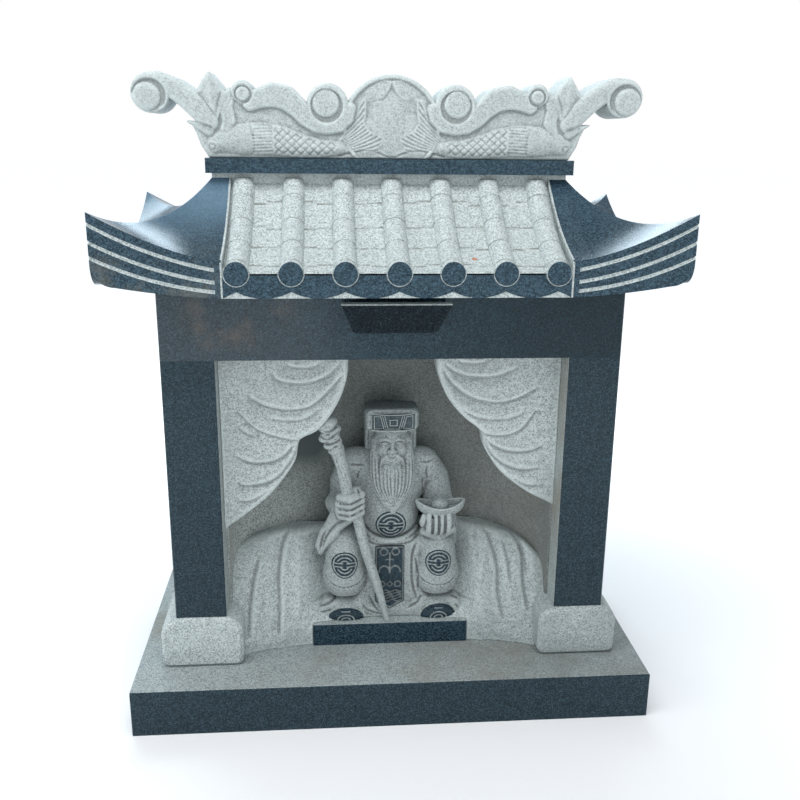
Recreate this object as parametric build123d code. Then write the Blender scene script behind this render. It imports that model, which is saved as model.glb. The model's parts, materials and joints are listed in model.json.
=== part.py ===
"""A small granite wayside shrine: a slab, pillow feet, posts and lintel round a carved niche with a seated
figure, under a tiled roof with up-turned corners and a carved crest.

Millimetres. X runs to the right of the open front, Y to the back, Z up. The origin is on the ground, in the
middle of the base slab."""

import os
from math import sqrt

from build123d import *

# Base slab
base_width = 800
base_depth = 410
base_height = 75
arris = 1.5

# Body: feet, posts, walls and head stones
opening_width = 518
opening_height = 410
post_width = 78
body_depth = 266
head_height = 104
back_thickness = 40

foot_height = 83
foot_side = 24
foot_nose = 7
foot_top_round = 27
foot_bottom_round = 12
foot_end_break = 5

# Niche: a flat margin at each side, then a hollow with a wide round back and rounder corners
niche_setback = 45
niche_margin = 4
hollow_depth = 128
hollow_cheek = 54
hollow_corner = 62

# Curtains in the upper corners, two swags each
curtain_gap = 132
curtain_drop = 263
curtain_thickness = 42
curtain_proud = 4

# Seat: plinth and the drapery beside it
plinth_width = 252
plinth_height = 38
plinth_setback = 44
seat_height = 178
seat_shoulder = 50
drapery_round = 20

# Seated figure, measured up from its plinth and forward from its spine
spine_setback = 69
lap_height = 150
chest_height = 215
shoulder_height = 262
neck_height = 286
hem_half = 116
lap_half = 92
chest_half = 84
shoulder_half = 76
knee_x = 76
knee_radius = 33
knee_forward = 36
knee_top = 152
beard_share = 0.8
beard_depth = 20
sleeve_hang = 68
sleeve_outer = 118
sleeve_elbow = 93
sleeve_inner = 58
apron_half = 22
apron_below_lap = 14
apron_foot = 34
apron_point = 12
apron_depth = 14
shoe_half = 27
shoe_height = 18
shoe_depth = 14
hat_width = 85
hat_depth = 68
hat_height = 35
hat_base = 320
hat_corner = 9
head_radius = 31
neck_half = 35
robe_round = 16
sleeve_round = 11
hand_radius = 20
head_half_height = 39
hand_height = 190
left_hand_x = 66
left_hand_forward = 56
right_hand_x = 79
right_hand_forward = 50
right_hand_drop = 34
staff_foot_x = -6
staff_radius = 7
staff_height = 345
staff_lean = 94
knob_radius = 15
knob_height = 40
ingot_width = 73
ingot_height = 24
ingot_depth = 30
boss_radius = 12

# Roof
roof_width = 806
roof_depth = 430
roof_rise = 148
ridge_flat = 40
field_width = 468
band_height = 33
band_thickness = 20
fascia_height = 49
hip_start = 262
hip_low_at = 0.56
hip_low_drop = 54
tip_rise = 63
tip_flat = 3
underside_rise = 20
prow_radius = 30
slope_sag = 14
course_count = 4
pan_drop = 10
wing_steps = 5

rib_count = 7
rib_pitch = 72
rib_radius = 16
tile_end_proud = 3
drip_height = 9
drip_half = 31
drip_depth = 2

groove_count = 3
groove_width = 5
groove_depth = 2
groove_start = 10

# Ridge and crest
recess_height = 7
ridge_length = 538
ridge_depth = 113
ridge_height = 21
crest_depth = 90
crest_height = 118
crest_foot = 265
horn_radius = 28.5
horn_x = 343
horn_z = 90
scroll_radius = 30
scroll_x = 92
scroll_z = 76
bud_x = 261
small_scroll_radius = 15

# Name board
board_top = 156
board_bottom = 120
board_height = 47
board_below_eave = 15
board_foot = 14
board_lean = 28
board_thickness = 16

# Levels and planes worked out from the sizes above
foot_top = base_height + foot_height
opening_top = foot_top + opening_height
eave_z = opening_top + head_height
pan_eave_z = eave_z + band_height
ridge_z = eave_z + roof_rise
slab_z = ridge_z + recess_height
crest_z = slab_z + ridge_height
half_opening = opening_width / 2
post_x = half_opening + post_width / 2
half_body = half_opening + post_width
body_front = -body_depth / 2
body_back = body_depth / 2
niche_front = body_front + niche_setback
niche_back = body_back - back_thickness
plinth_front = body_front + plinth_setback
plinth_top = base_height + plinth_height
spine_y = plinth_front + spine_setback
eave_y = -roof_depth / 2
wing_start = field_width / 2
wing_end = roof_width / 2
wing_span = wing_end - wing_start


def block(x, y, z):
    """A box between two limits on each axis."""
    size = Box(x[1] - x[0], y[1] - y[0], z[1] - z[0])
    return Pos((x[0] + x[1]) / 2, (y[0] + y[1]) / 2, (z[0] + z[1]) / 2) * size


def mirrored(part):
    """The same piece on the other side of the middle."""
    return part.mirror(Plane.YZ)


def template(plane, points, corner):
    """A closed outline with every corner but those at its foot rounded."""
    low = min(p[1] for p in points)
    with BuildSketch(plane) as outline:
        with BuildLine():
            Polyline(*points, close=True)
        make_face()
        fillet([v for v in outline.vertices() if v.Z > low + 1], corner)
    return outline.sketch


def sawn(front, side, corner):
    """A block sawn to two templates: the outline seen from the front, and the one seen from the side."""
    from_front = extrude(template(Plane.XZ, front, corner), amount=base_depth, both=True)
    from_side = extrude(template(Plane.YZ, side, corner), amount=base_width, both=True)
    return from_front & from_side


def main_solid(shape):
    """The largest solid, which leaves out crumbs that a cut sets free."""
    return shape.solids().sort_by(SortBy.VOLUME)[-1]


# Base and body


def base_slab():
    slab = block((-base_width / 2, base_width / 2), (-base_depth / 2, base_depth / 2), (0, base_height))
    return chamfer(slab.faces().sort_by(Axis.Z)[-1].edges(), arris)


def foot_stone():
    """A pillow of stone that runs from front to back under one side, with rounded corners and broken ends."""
    with BuildSketch(Plane.XZ) as end:
        with Locations((post_x, base_height + foot_height / 2)):
            Rectangle(post_width + 2 * foot_side, foot_height)
        fillet(end.vertices().group_by(Axis.Y)[-1], foot_top_round)
        fillet(end.vertices().group_by(Axis.Y)[0], foot_bottom_round)
    stone = extrude(end.sketch, amount=body_depth / 2 + foot_nose, both=True)
    ends = stone.faces().sort_by(Axis.Y)
    return chamfer(ends[0].edges() + ends[-1].edges(), foot_end_break)


def front_post():
    post = block(
        (post_x - post_width / 2, post_x + post_width / 2),
        (body_front, body_front + post_width),
        (foot_top, opening_top),
    )
    front = post.edges().filter_by(Axis.Z).group_by(Axis.Y)[0]
    return chamfer(front, arris)


def side_wall():
    return block(
        (post_x - post_width / 2, post_x + post_width / 2),
        (body_front + post_width, body_back),
        (foot_top, opening_top),
    )


def back_wall(feet):
    wall = block((-half_opening, half_opening), (niche_back, body_back), (base_height, opening_top))
    return wall - feet


def front_lintel():
    beam = block((-half_body, half_body), (body_front, body_front + post_width), (opening_top, eave_z))
    front = beam.edges().filter_by(Axis.Z).group_by(Axis.Y)[0]
    return chamfer(front, arris)


def ceiling_slab():
    return block((-half_body, half_body), (body_front + post_width, body_back), (opening_top, eave_z))


def name_board():
    """A bare board that leans out from the lintel, with its lower corners rounded."""
    top = eave_z - board_below_eave
    bottom = top - board_height
    with BuildSketch(Plane.XZ) as face:
        with BuildLine():
            Polyline(
                (-board_top / 2, top),
                (board_top / 2, top),
                (board_bottom / 2, bottom),
                (-board_bottom / 2, bottom),
                close=True,
            )
        make_face()
        fillet(face.vertices().group_by(Axis.Y)[0], board_height / 6)
    front_top = body_front - board_foot - board_lean
    with BuildSketch(Plane.YZ) as side:
        with BuildLine():
            Polyline(
                (body_front, bottom),
                (body_front - board_foot, bottom),
                (front_top, top),
                (front_top + board_thickness, top),
                (body_front, bottom + board_height / 2),
                close=True,
            )
        make_face()
    outline = extrude(face.sketch, amount=board_foot + board_lean - body_front)
    return outline & extrude(side.sketch, amount=board_top, both=True)


# Niche


def hollow_half():
    return half_opening - niche_margin


def hollow_radius():
    """Radius of the wide round back, which spans the hollow between its cheeks."""
    sag = hollow_depth - hollow_cheek
    return (hollow_half() ** 2 + sag**2) / (2 * sag)


def hollow_y(x):
    """How far back the hollow reaches at a distance x from the middle."""
    radius = hollow_radius()
    return niche_front + hollow_depth - radius + sqrt(radius**2 - x**2)


def hollow():
    """The upright hollow behind the figure."""
    half = hollow_half()
    cheek = niche_front + hollow_cheek
    with BuildSketch() as plan:
        with BuildLine():
            Polyline((-half, cheek), (-half, body_front), (half, body_front), (half, cheek))
            ThreePointArc((half, cheek), (0, niche_front + hollow_depth), (-half, cheek))
        make_face()
        fillet([v for v in plan.vertices() if abs(v.Y - cheek) < 1], hollow_corner)
    return Pos(0, 0, base_height) * extrude(plan.sketch, amount=opening_height + foot_height)


def niche_panel(feet):
    stone = block((-half_opening, half_opening), (niche_front, niche_back), (base_height, opening_top))
    return main_solid(stone - feet - hollow())


def curtain(panel):
    """A gathered curtain of two swags that hangs in an upper corner of the niche."""
    inner = curtain_gap / 2
    low = opening_top - curtain_drop
    reach = half_opening - inner
    notch = (inner + 0.39 * reach, opening_top - 0.49 * curtain_drop)
    with BuildSketch(Plane.XZ) as swags:
        with BuildLine():
            Line((half_opening, opening_top), (inner, opening_top))
            upper = (inner + 0.15 * reach, opening_top - 0.33 * curtain_drop)
            ThreePointArc((inner, opening_top), upper, notch)
            lower = (inner + 0.58 * reach, opening_top - 0.79 * curtain_drop)
            ThreePointArc(notch, lower, (half_opening, low))
            Line((half_opening, low), (half_opening, opening_top))
        make_face()
    cloth = Pos(0, niche_front - curtain_proud, 0) * extrude(swags.sketch, amount=-curtain_thickness)
    return main_solid(cloth - panel)


def seat_drapery(panel, feet):
    """Cloth that falls beside the seat: its front leans back from the floor to the wall of the hollow."""
    inner = plinth_width / 2
    top = base_height + seat_height
    outer = half_opening - seat_shoulder
    front = [
        (inner, base_height),
        (half_opening, base_height),
        (half_opening, top - seat_shoulder),
        (outer, top - seat_shoulder * 0.3),
        (inner, top),
    ]
    side = [
        (niche_back, base_height),
        (body_front + 6, base_height),
        (plinth_front, base_height + seat_height / 3),
        (plinth_front + 34, base_height + seat_height * 0.7),
        (hollow_y(outer) - 20, top),
        (niche_back, top),
    ]
    with BuildSketch(Plane.XY.offset(base_height)) as plan:
        with BuildLine():
            ThreePointArc(
                (inner, plinth_front),
                ((inner + half_opening) / 2, plinth_front - 13),
                (half_opening, body_front + 7),
            )
            Polyline((half_opening, body_front + 7), (half_opening, niche_back))
            Polyline((half_opening, niche_back), (inner, niche_back), (inner, plinth_front))
        make_face()
    cloth = sawn(front, side, drapery_round) & extrude(plan.sketch, amount=seat_height)
    return main_solid(cloth - panel - feet)


def figure_plinth(panel):
    stone = block(
        (-plinth_width / 2, plinth_width / 2), (plinth_front, niche_back), (base_height, plinth_top)
    )
    return main_solid(stone - panel)


# Seated figure


def raised(points):
    """Outline points given as heights above the plinth's top."""
    return [(across, plinth_top + up) for across, up in points]


def turned(points):
    """A solid of revolution about an upright axis through the origin, from (radius, height) points."""
    with BuildSketch(Plane.XZ) as half:
        with BuildLine():
            Polyline((0, points[0][1]), *points, (0, points[-1][1]), close=True)
        make_face()
    return revolve(half.sketch, axis=Axis.Z)


def figure_body():
    """Robe, lap and chest in one mass, from the plinth to the neck, seated against the wall of the hollow."""
    half = [
        (hem_half, 0),
        (lap_half, lap_height),
        (chest_half, chest_height),
        (shoulder_half, shoulder_height),
        (neck_half, neck_height),
    ]
    front = raised(half + [(-x, z) for x, z in reversed(half)])
    side = raised(
        [
            (niche_back, 0),
            (spine_y - 64, 0),
            (spine_y - 48, lap_height),
            (spine_y - 34, chest_height),
            (spine_y - 22, neck_height),
            (spine_y + 30, neck_height),
            (spine_y + 46, chest_height),
            (spine_y + 48, lap_height),
            (niche_back, lap_height),
        ]
    )
    return sawn(front, side, robe_round)


def figure_head():
    """Jaw, cheeks and temples, up into the cap."""
    chin = -head_half_height
    head = turned(
        [
            (head_radius * 0.5, chin),
            (head_radius * 0.9, chin / 2),
            (head_radius, 0),
            (head_radius * 0.9, head_half_height),
        ]
    )
    return Pos(0, spine_y - 4, plinth_top + hat_base - 25) * head


def figure_hat():
    """A tall soft-cornered cap, with a cloth behind the head down to the shoulders."""
    half = hat_width / 2
    front = spine_y - hat_depth / 2
    low = plinth_top + hat_base
    cap = block((-half, half), (front, front + hat_depth), (low, low + hat_height))
    cap = fillet(cap.edges().filter_by(Axis.Z), hat_corner)
    cap = chamfer(cap.faces().sort_by(Axis.Z)[-1].edges(), hat_corner / 2)
    cloth = block((-half, half), (spine_y, front + hat_depth), (plinth_top + shoulder_height + 10, low))
    return cap + cloth


def figure_beard():
    """A long beard that narrows to its end."""
    top = plinth_top + hat_base - 55
    low = plinth_top + hand_height
    half = head_radius * beard_share
    bend = (half * 0.85, low + (top - low) * 0.4)
    with BuildSketch(Plane.XZ) as outline:
        with BuildLine():
            Line((-half, top), (half, top))
            ThreePointArc((half, top), bend, (0, low))
            ThreePointArc((0, low), (-bend[0], bend[1]), (-half, top))
        make_face()
    return Pos(0, spine_y - 28, 0) * extrude(outline.sketch, amount=beard_depth)


def sleeve(side):
    """Sleeve from the shoulder to the wrist, hanging open under the forearm."""
    front = raised(
        [
            (sleeve_inner + 32, hand_height - sleeve_hang),
            (sleeve_outer, hand_height - sleeve_hang),
            (sleeve_outer, hand_height),
            (sleeve_elbow, shoulder_height - 18),
            (sleeve_inner + 4, shoulder_height + 10),
            (sleeve_inner, hand_height - 30),
        ]
    )
    back = raised(
        [
            (spine_y - 6, hand_height - sleeve_hang),
            (spine_y - 46, hand_height - sleeve_hang),
            (spine_y - 58, hand_height - 20),
            (spine_y - 46, hand_height + 24),
            (spine_y - 20, shoulder_height + 10),
            (spine_y + 32, shoulder_height + 4),
            (spine_y + 18, hand_height + 10),
        ]
    )
    arm = sawn(front, back, sleeve_round)
    return arm if side > 0 else mirrored(arm)


def hand(x, forward, height):
    """A closed hand round what it holds."""
    fist = turned([(hand_radius * 0.6, -17), (hand_radius, -5), (hand_radius, 5), (hand_radius * 0.6, 17)])
    return Pos(x, spine_y - forward, plinth_top + height) * fist


def robed_leg(side):
    """Robe over one shin and knee: full at the hem and the knee, and drawn in between."""
    half = [
        (knee_radius, 0),
        (knee_radius - 4, 40),
        (knee_radius, knee_top - 60),
        (knee_radius - 3, knee_top - 22),
        (knee_radius / 2, knee_top),
    ]
    front = raised(half + [(-x, z) for x, z in reversed(half)])
    y = spine_y - knee_forward
    profile = raised([(y + across, up) for across, up in half + [(-x, z) for x, z in reversed(half)]])
    return Pos(side * knee_x, 0, 0) * sawn(front, profile, robe_round / 2)


def robe_apron():
    """The hanging front panel of the robe, with a pointed end."""
    top = plinth_top + lap_height - apron_below_lap
    low = plinth_top + apron_foot
    side = low + apron_point
    half = apron_half
    with BuildSketch(Plane.XZ) as panel:
        with BuildLine():
            Polyline((-half, top), (half, top), (half, side), (0, low), (-half, side), close=True)
        make_face()
    return Pos(0, spine_y - 44, 0) * extrude(panel.sketch, amount=apron_depth)


def shoe(side):
    with BuildSketch(Plane.XZ) as toe:
        with Locations((side * knee_x, plinth_top)):
            Ellipse(shoe_half, shoe_height)
    shape = Pos(0, plinth_front + shoe_depth + 2, 0) * extrude(toe.sketch, amount=shoe_depth)
    above = block((-hem_half, hem_half), (body_front, 0), (plinth_top, plinth_top + 2 * shoe_height))
    return shape & above


def staff():
    """A tapering staff with a knotted head, turned in one piece, that leans out to the side."""
    y = spine_y - 56
    foot = Vector(staff_foot_x, y, plinth_top + 2)
    top = Vector(staff_foot_x - staff_lean, y, plinth_top + staff_height)
    length = (top - foot).length
    rod = turned(
        [
            (staff_radius * 0.7, 0),
            (staff_radius * 1.2, length - knob_height),
            (knob_radius, length - knob_height * 0.6),
            (knob_radius, length - knob_height * 0.3),
            (knob_radius * 0.4, length),
        ]
    )
    return Plane(origin=foot, z_dir=top - foot).location * rod


def gold_ingot():
    """A boat-shaped ingot with a round boss, resting on the hand."""
    low = plinth_top + hand_height - 12
    high = low + ingot_height
    x = right_hand_x
    half = ingot_width / 2
    with BuildSketch(Plane.XZ) as boat:
        with BuildLine():
            Line((x - half, high), (x + half, high))
            ThreePointArc((x + half, high), (x, low), (x - half, high))
        make_face()
    hull = Pos(0, spine_y - 36, 0) * extrude(boat.sketch, amount=ingot_depth)
    boss = Pos(x, spine_y - 36 - ingot_depth / 2, high) * Cylinder(boss_radius, 8)
    return hull + boss


def figure_pieces():
    """The figure's pieces in the order that they are fitted: each gives way to those before it."""
    return [
        ("figure_hat", figure_hat()),
        ("staff", staff()),
        ("gold_ingot", gold_ingot()),
        ("figure_beard", figure_beard()),
        ("figure_head", figure_head()),
        ("left_shoe", shoe(-1)),
        ("right_shoe", shoe(1)),
        ("left_leg", robed_leg(-1)),
        ("right_leg", robed_leg(1)),
        ("robe_apron", robe_apron()),
        ("left_arm", sleeve(-1) + hand(-left_hand_x, left_hand_forward, hand_height)),
        ("right_arm", sleeve(1) + hand(right_hand_x, right_hand_forward, hand_height - right_hand_drop)),
        ("figure_body", figure_body()),
    ]


# Roof


def sagging(y, y0, z0, y1, z1, sag):
    """Height at y of a curve from (y0, z0) to (y1, z1) that hangs below its chord by sag in the middle."""
    t = (y - y0) / (y1 - y0)
    return z0 + (z1 - z0) * t - 4 * sag * t * (1 - t)


def slope_points(low, high):
    """Points up the front slope: each tile course runs straight from one to the next."""
    reach = -eave_y - ridge_flat
    ys = [eave_y + reach * i / course_count for i in range(course_count + 1)]
    return [(y, sagging(y, eave_y, low, -ridge_flat, high, slope_sag)) for y in ys]


def roof_profile(low, high):
    """Closed section across the roof: both slopes, from the height low at the eaves to high at the ridge."""
    front = slope_points(low, high)
    back = [(-y, z) for y, z in reversed(front)]
    with BuildSketch(Plane.YZ) as face:
        with BuildLine():
            Polyline((eave_y, eave_z), *front, *back, (-eave_y, eave_z), close=True)
        make_face()
    return face.sketch


def tiled_block():
    """The middle of the roof up to its pan tiles, from eave to eave."""
    return extrude(roof_profile(pan_eave_z, ridge_z - pan_drop), amount=wing_start, both=True)


def roof_core():
    neck = block((-wing_start, wing_start), (-ridge_flat, ridge_flat), (eave_z, ridge_z))
    inner = block(
        (-wing_start, wing_start), (eave_y + band_thickness, -eave_y - band_thickness), (eave_z, ridge_z)
    )
    return (tiled_block() + neck) & inner


def drip_notch(x):
    """Recess under a tile end, with curved sides, that leaves a pointed drip tile to each side of it."""
    apex = (x, eave_z + drip_height)
    low = [(x + side * drip_half, eave_z) for side in (-1, 1)]
    bend = [(x + side * drip_half * 0.35, eave_z + drip_height * 0.48) for side in (-1, 1)]
    with BuildSketch(Plane.XZ.offset(-eave_y - drip_depth)) as notch:
        with BuildLine():
            ThreePointArc(low[0], bend[0], apex)
            ThreePointArc(apex, bend[1], low[1])
            Line(low[1], low[0])
        make_face()
    return extrude(notch.sketch, amount=drip_depth)


def eave_band():
    """The polished band along the front eave, with a row of pointed drip tiles cut along its lower edge."""
    front = block((-wing_start, wing_start), (eave_y, eave_y + band_thickness), (eave_z, ridge_z))
    band = tiled_block() & front
    for x in rib_places():
        band = band - drip_notch(x)
    return main_solid(band)


def rib_places():
    first = -(rib_count - 1) / 2 * rib_pitch
    return [first + i * rib_pitch for i in range(rib_count)]


def tile_ribs():
    """Half-round ribs down the front slope, straight within each course."""
    points = [(0, y, z) for y, z in slope_points(pan_eave_z, ridge_z - pan_drop)]
    path = Polyline(*points)
    with BuildSketch(Plane(origin=path @ 0, z_dir=path % 0)) as ring:
        Circle(rib_radius)
    slope = block((-rib_radius, rib_radius), (eave_y, -ridge_flat), (eave_z, ridge_z))
    swept = sweep(ring.sketch, path=path, transition=Transition.RIGHT)
    rib = main_solid((swept & slope) - tiled_block())
    return [Pos(x, 0, 0) * rib for x in rib_places()]


def tile_ends():
    """Round ends of the ribs, a little proud of the eave band."""
    ends = []
    for x in rib_places():
        with BuildSketch(Plane.XZ.offset(-eave_y)) as disc:
            with Locations((x, pan_eave_z)):
                Circle(rib_radius)
        ends.append(extrude(disc.sketch, amount=tile_end_proud))
    return ends


def edge_lift(reach):
    """Lift of the fascia's top edge, from nothing where the corner starts to the full rise at its tip."""
    return tip_rise * max(0.0, reach) ** 1.5


def hip_height(t):
    """Height of the hip, from the ridge at 0 to the tip at 1: a parabola through its lowest stretch."""
    tip = eave_z + fascia_height + tip_rise
    low = ridge_z - hip_low_drop
    m = hip_low_at
    from_ridge = ridge_z * (t - m) * (t - 1) / m
    from_low = low * t * (t - 1) / (m * (m - 1))
    from_tip = tip * t * (t - m) / (1 - m)
    return from_ridge + from_low + from_tip


def corner_reach(y):
    """How far along the side a point is, from 0 where the corner starts to lift to 1 at the tip."""
    return max(0.0, (abs(y) + wing_span + eave_y) / wing_span)


def prow_points():
    """The fascia's lower edge as (reach, height), from where it starts to lift to the tip."""
    reaches = (0, 0.45, 1 - prow_radius / wing_span)
    rise = [(r, eave_z + underside_rise * r**1.5) for r in reaches]
    return rise + [(1 - prow_radius * 0.3 / wing_span, rise[-1][1] + prow_radius * 0.3)] + [
        (1, rise[-1][1] + prow_radius)
    ]


def under_side(plane, along):
    """What lies below the fascia's lower edge, as a long bar. along gives the place of each reach."""
    points = [(along(r), z) for r, z in prow_points()]
    with BuildSketch(plane) as below:
        with BuildLine():
            ThreePointArc(points[0], points[1], points[2])
            ThreePointArc(points[2], points[3], points[4])
            Polyline(points[4], (points[4][0], eave_z - 1), (points[0][0], eave_z - 1), points[0])
        make_face()
    return extrude(below.sketch, amount=roof_width, both=True)


def wing_undercut():
    """The stone cut away under both corners of a wing, which leaves each fascia the shape of a prow."""
    under_front = under_side(Plane.XZ, lambda reach: wing_start + reach * wing_span)
    corner = under_side(Plane.YZ, lambda reach: -eave_y - (1 - reach) * wing_span)
    right = under_front & corner
    return right + right.mirror(Plane.XZ)


def wing_section(x):
    """Closed section across a wing at the distance x from the middle of the roof."""
    t = max(0.0, (x - hip_start) / (wing_end - hip_start))
    hip_y = ridge_flat + t * (-eave_y - tip_flat - ridge_flat)
    hip_z = hip_height(t)
    low_edge = eave_z + fascia_height
    edge_z = low_edge + edge_lift((x - wing_start) / wing_span)
    share = (-eave_y - hip_y) / (-eave_y - ridge_flat)
    middle_y = (-eave_y + hip_y) / 2
    middle_z = (edge_z + hip_z) / 2 - slope_sag * share**2
    saddle = ridge_z
    if t > 0:
        saddle = sagging(x, wing_end, low_edge, hip_start, ridge_z, slope_sag)
    with BuildSketch(Plane.YZ.offset(x)) as face:
        with BuildLine():
            Polyline((eave_y, edge_z), (eave_y, eave_z), (-eave_y, eave_z), (-eave_y, edge_z))
            ThreePointArc((-eave_y, edge_z), (middle_y, middle_z), (hip_y, hip_z))
            if t > 0:
                ThreePointArc((hip_y, hip_z), (0, saddle), (-hip_y, hip_z))
            else:
                Line((hip_y, hip_z), (-hip_y, hip_z))
            ThreePointArc((-hip_y, hip_z), (-middle_y, middle_z), (eave_y, edge_z))
        make_face()
    return face.sketch


def groove_height(index, reach):
    """Height of a fascia groove's middle line: the grooves fan out towards the tip."""
    drop = (12 + 3 * reach, 28 + 10 * reach, 40 + 18 * reach)[index]
    return eave_z + fascia_height + edge_lift(reach) - drop


def groove(plane, along, index):
    """A shallow groove towards one tip, rising in an arc. along gives the place of each reach."""
    reaches = (groove_start / wing_span, 0.55, 1.04)
    half = groove_width / 2
    upper = [(along(r), groove_height(index, r) + half) for r in reaches]
    lower = [(along(r), groove_height(index, r) - half) for r in reaches]
    with BuildSketch(plane) as ribbon:
        with BuildLine():
            ThreePointArc(*upper)
            Line(upper[2], lower[2])
            ThreePointArc(*lower[::-1])
            Line(lower[0], upper[0])
        make_face()
    return extrude(ribbon.sketch, amount=groove_depth, both=True)


def side_groove(index):
    """A groove right along the side fascia, level in the middle and rising to both tips."""
    plane = Plane.YZ.offset(wing_end)
    rising = groove(plane, lambda reach: -eave_y - (1 - reach) * wing_span, index)
    flat_half = -eave_y - wing_span + groove_start
    level = groove_height(index, groove_start / wing_span)
    with BuildSketch(plane) as ribbon:
        with Locations((0, level)):
            Rectangle(2 * flat_half, groove_width)
    return rising + rising.mirror(Plane.XZ) + extrude(ribbon.sketch, amount=groove_depth, both=True)


def wing_grooves():
    """The grooves in the front, back and side fascias of one wing."""
    cuts = []
    for index in range(groove_count):
        front = groove(Plane.XZ.offset(-eave_y), lambda reach: wing_start + reach * wing_span, index)
        cuts = cuts + [front, front.mirror(Plane.XZ), side_groove(index)]
    return cuts


def roof_wing():
    """One polished end of the roof, with both its corners turned up."""
    steps = range(wing_steps + 1)
    stations = [hip_start + (wing_end - hip_start) * i / wing_steps for i in steps]
    corner = loft([wing_section(x) for x in stations])
    inner = loft([wing_section(wing_start), wing_section(hip_start)], ruled=True)
    wing = corner + inner - wing_undercut()
    for cut in wing_grooves():
        wing = wing - cut
    return main_solid(wing)


def ridge_neck():
    return block((-hip_start, hip_start), (-ridge_flat, ridge_flat), (ridge_z, slab_z))


def ridge_slab():
    half = ridge_length / 2
    return block((-half, half), (-ridge_depth / 2, ridge_depth / 2), (slab_z, crest_z))


def crest_outline():
    """Half of the crest, from its middle out to the curled horn, measured up from the ridge slab."""
    top = crest_height
    with BuildSketch(Plane.XZ) as half:
        with BuildLine():
            Polyline((0, 0), (crest_foot, 0), (crest_foot + 11, 22))
            ThreePointArc((crest_foot + 11, 22), (crest_foot + 17, 38), (crest_foot + 25, 50))
            Line((crest_foot + 25, 50), (crest_foot + 19, 57))
            ThreePointArc((crest_foot + 19, 57), (301, 70), (horn_x - 24, 80))
            Polyline((horn_x - 24, 80), (horn_x, horn_z), (horn_x, horn_z + horn_radius))
            ThreePointArc((horn_x, horn_z + horn_radius), (306, 113), (bud_x + 16, 93))
            ThreePointArc((bud_x + 16, 93), (bud_x + 10, 107), (bud_x, top))
            ThreePointArc((bud_x, top), (bud_x - 9, 110), (bud_x - 18, 97))
            Polyline((bud_x - 18, 97), (216, 100), (200, 93))
            ThreePointArc((200, 93), (166, 104), (scroll_x + scroll_radius, scroll_z + 9))
            Polyline((scroll_x + scroll_radius, scroll_z + 9), (scroll_x, scroll_z), (scroll_x - 31, 94))
            ThreePointArc((scroll_x - 31, 94), (31, 111), (0, top))
            Line((0, top), (0, 0))
        make_face()
        with Locations((horn_x, horn_z)):
            Circle(horn_radius)
        with Locations((scroll_x, scroll_z)):
            Circle(scroll_radius)
        with Locations((216, 92)):
            Circle(small_scroll_radius)
    return half.sketch


def ridge_crest():
    """The carved crest: scrolls, buds and curled horns cut through one slab of stone."""
    right = extrude(crest_outline(), amount=crest_depth / 2, both=True)
    return Pos(0, 0, crest_z) * (right + mirrored(right))


# Writing the pieces


def write(name, *solids):
    shape = solids[0] if len(solids) == 1 else Compound(children=list(solids))
    export_step(shape, f"parts/{name}.step")


def write_pair(name, piece):
    """One piece for each side of the shrine."""
    write(f"right_{name}", main_solid(piece))
    write(f"left_{name}", main_solid(mirrored(piece)))


def write_front_and_back(name, solids):
    """A set of like solids for the front of the roof, and the same turned to the back."""
    write(f"front_{name}", *solids)
    write(f"back_{name}", *[solid.mirror(Plane.XZ).solid() for solid in solids])


def main():
    os.makedirs("parts", exist_ok=True)
    foot = foot_stone()
    feet = foot + mirrored(foot)
    panel = niche_panel(feet)
    plinth = figure_plinth(panel)

    write("base_slab", base_slab().solid())
    write_pair("foot_stone", foot)
    write_pair("front_post", front_post())
    write_pair("side_wall", side_wall())
    write("back_wall", main_solid(back_wall(feet)))
    write("front_lintel", front_lintel().solid())
    write("ceiling_slab", ceiling_slab().solid())
    write("name_board", name_board().solid())
    write("niche_panel", panel)
    write_pair("curtain", curtain(panel))
    write_pair("seat_drapery", seat_drapery(panel, feet))
    write("figure_plinth", plinth)

    taken = panel + plinth
    for name, piece in figure_pieces():
        write(name, main_solid(piece - taken))
        taken = taken + piece

    write("roof_core", main_solid(roof_core()))
    write_front_and_back("eave_band", [eave_band()])
    write_front_and_back("tile_ribs", [rib.solid() for rib in tile_ribs()])
    write_front_and_back("tile_ends", [end.solid() for end in tile_ends()])
    write_pair("roof_wing", roof_wing())
    write("ridge_neck", ridge_neck().solid())
    write("ridge_slab", ridge_slab().solid())
    write("ridge_crest", main_solid(ridge_crest()))


main()
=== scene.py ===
# %% [markdown]
# # A granite wayside shrine
#
# The shrine is one dark granite worked in two ways. Sawn faces are polished until the stone turns deep
# blue-black. Carved faces are left honed, and the same stone then looks light grey with fine dark grains.
# This lesson loads the measured model as a fixed frame, carves what the saw can't make, and finishes every
# surface with procedural materials.

import copy
import json
import math
import time

import bpy
import numpy as np
from mathutils import Matrix, Vector


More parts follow.
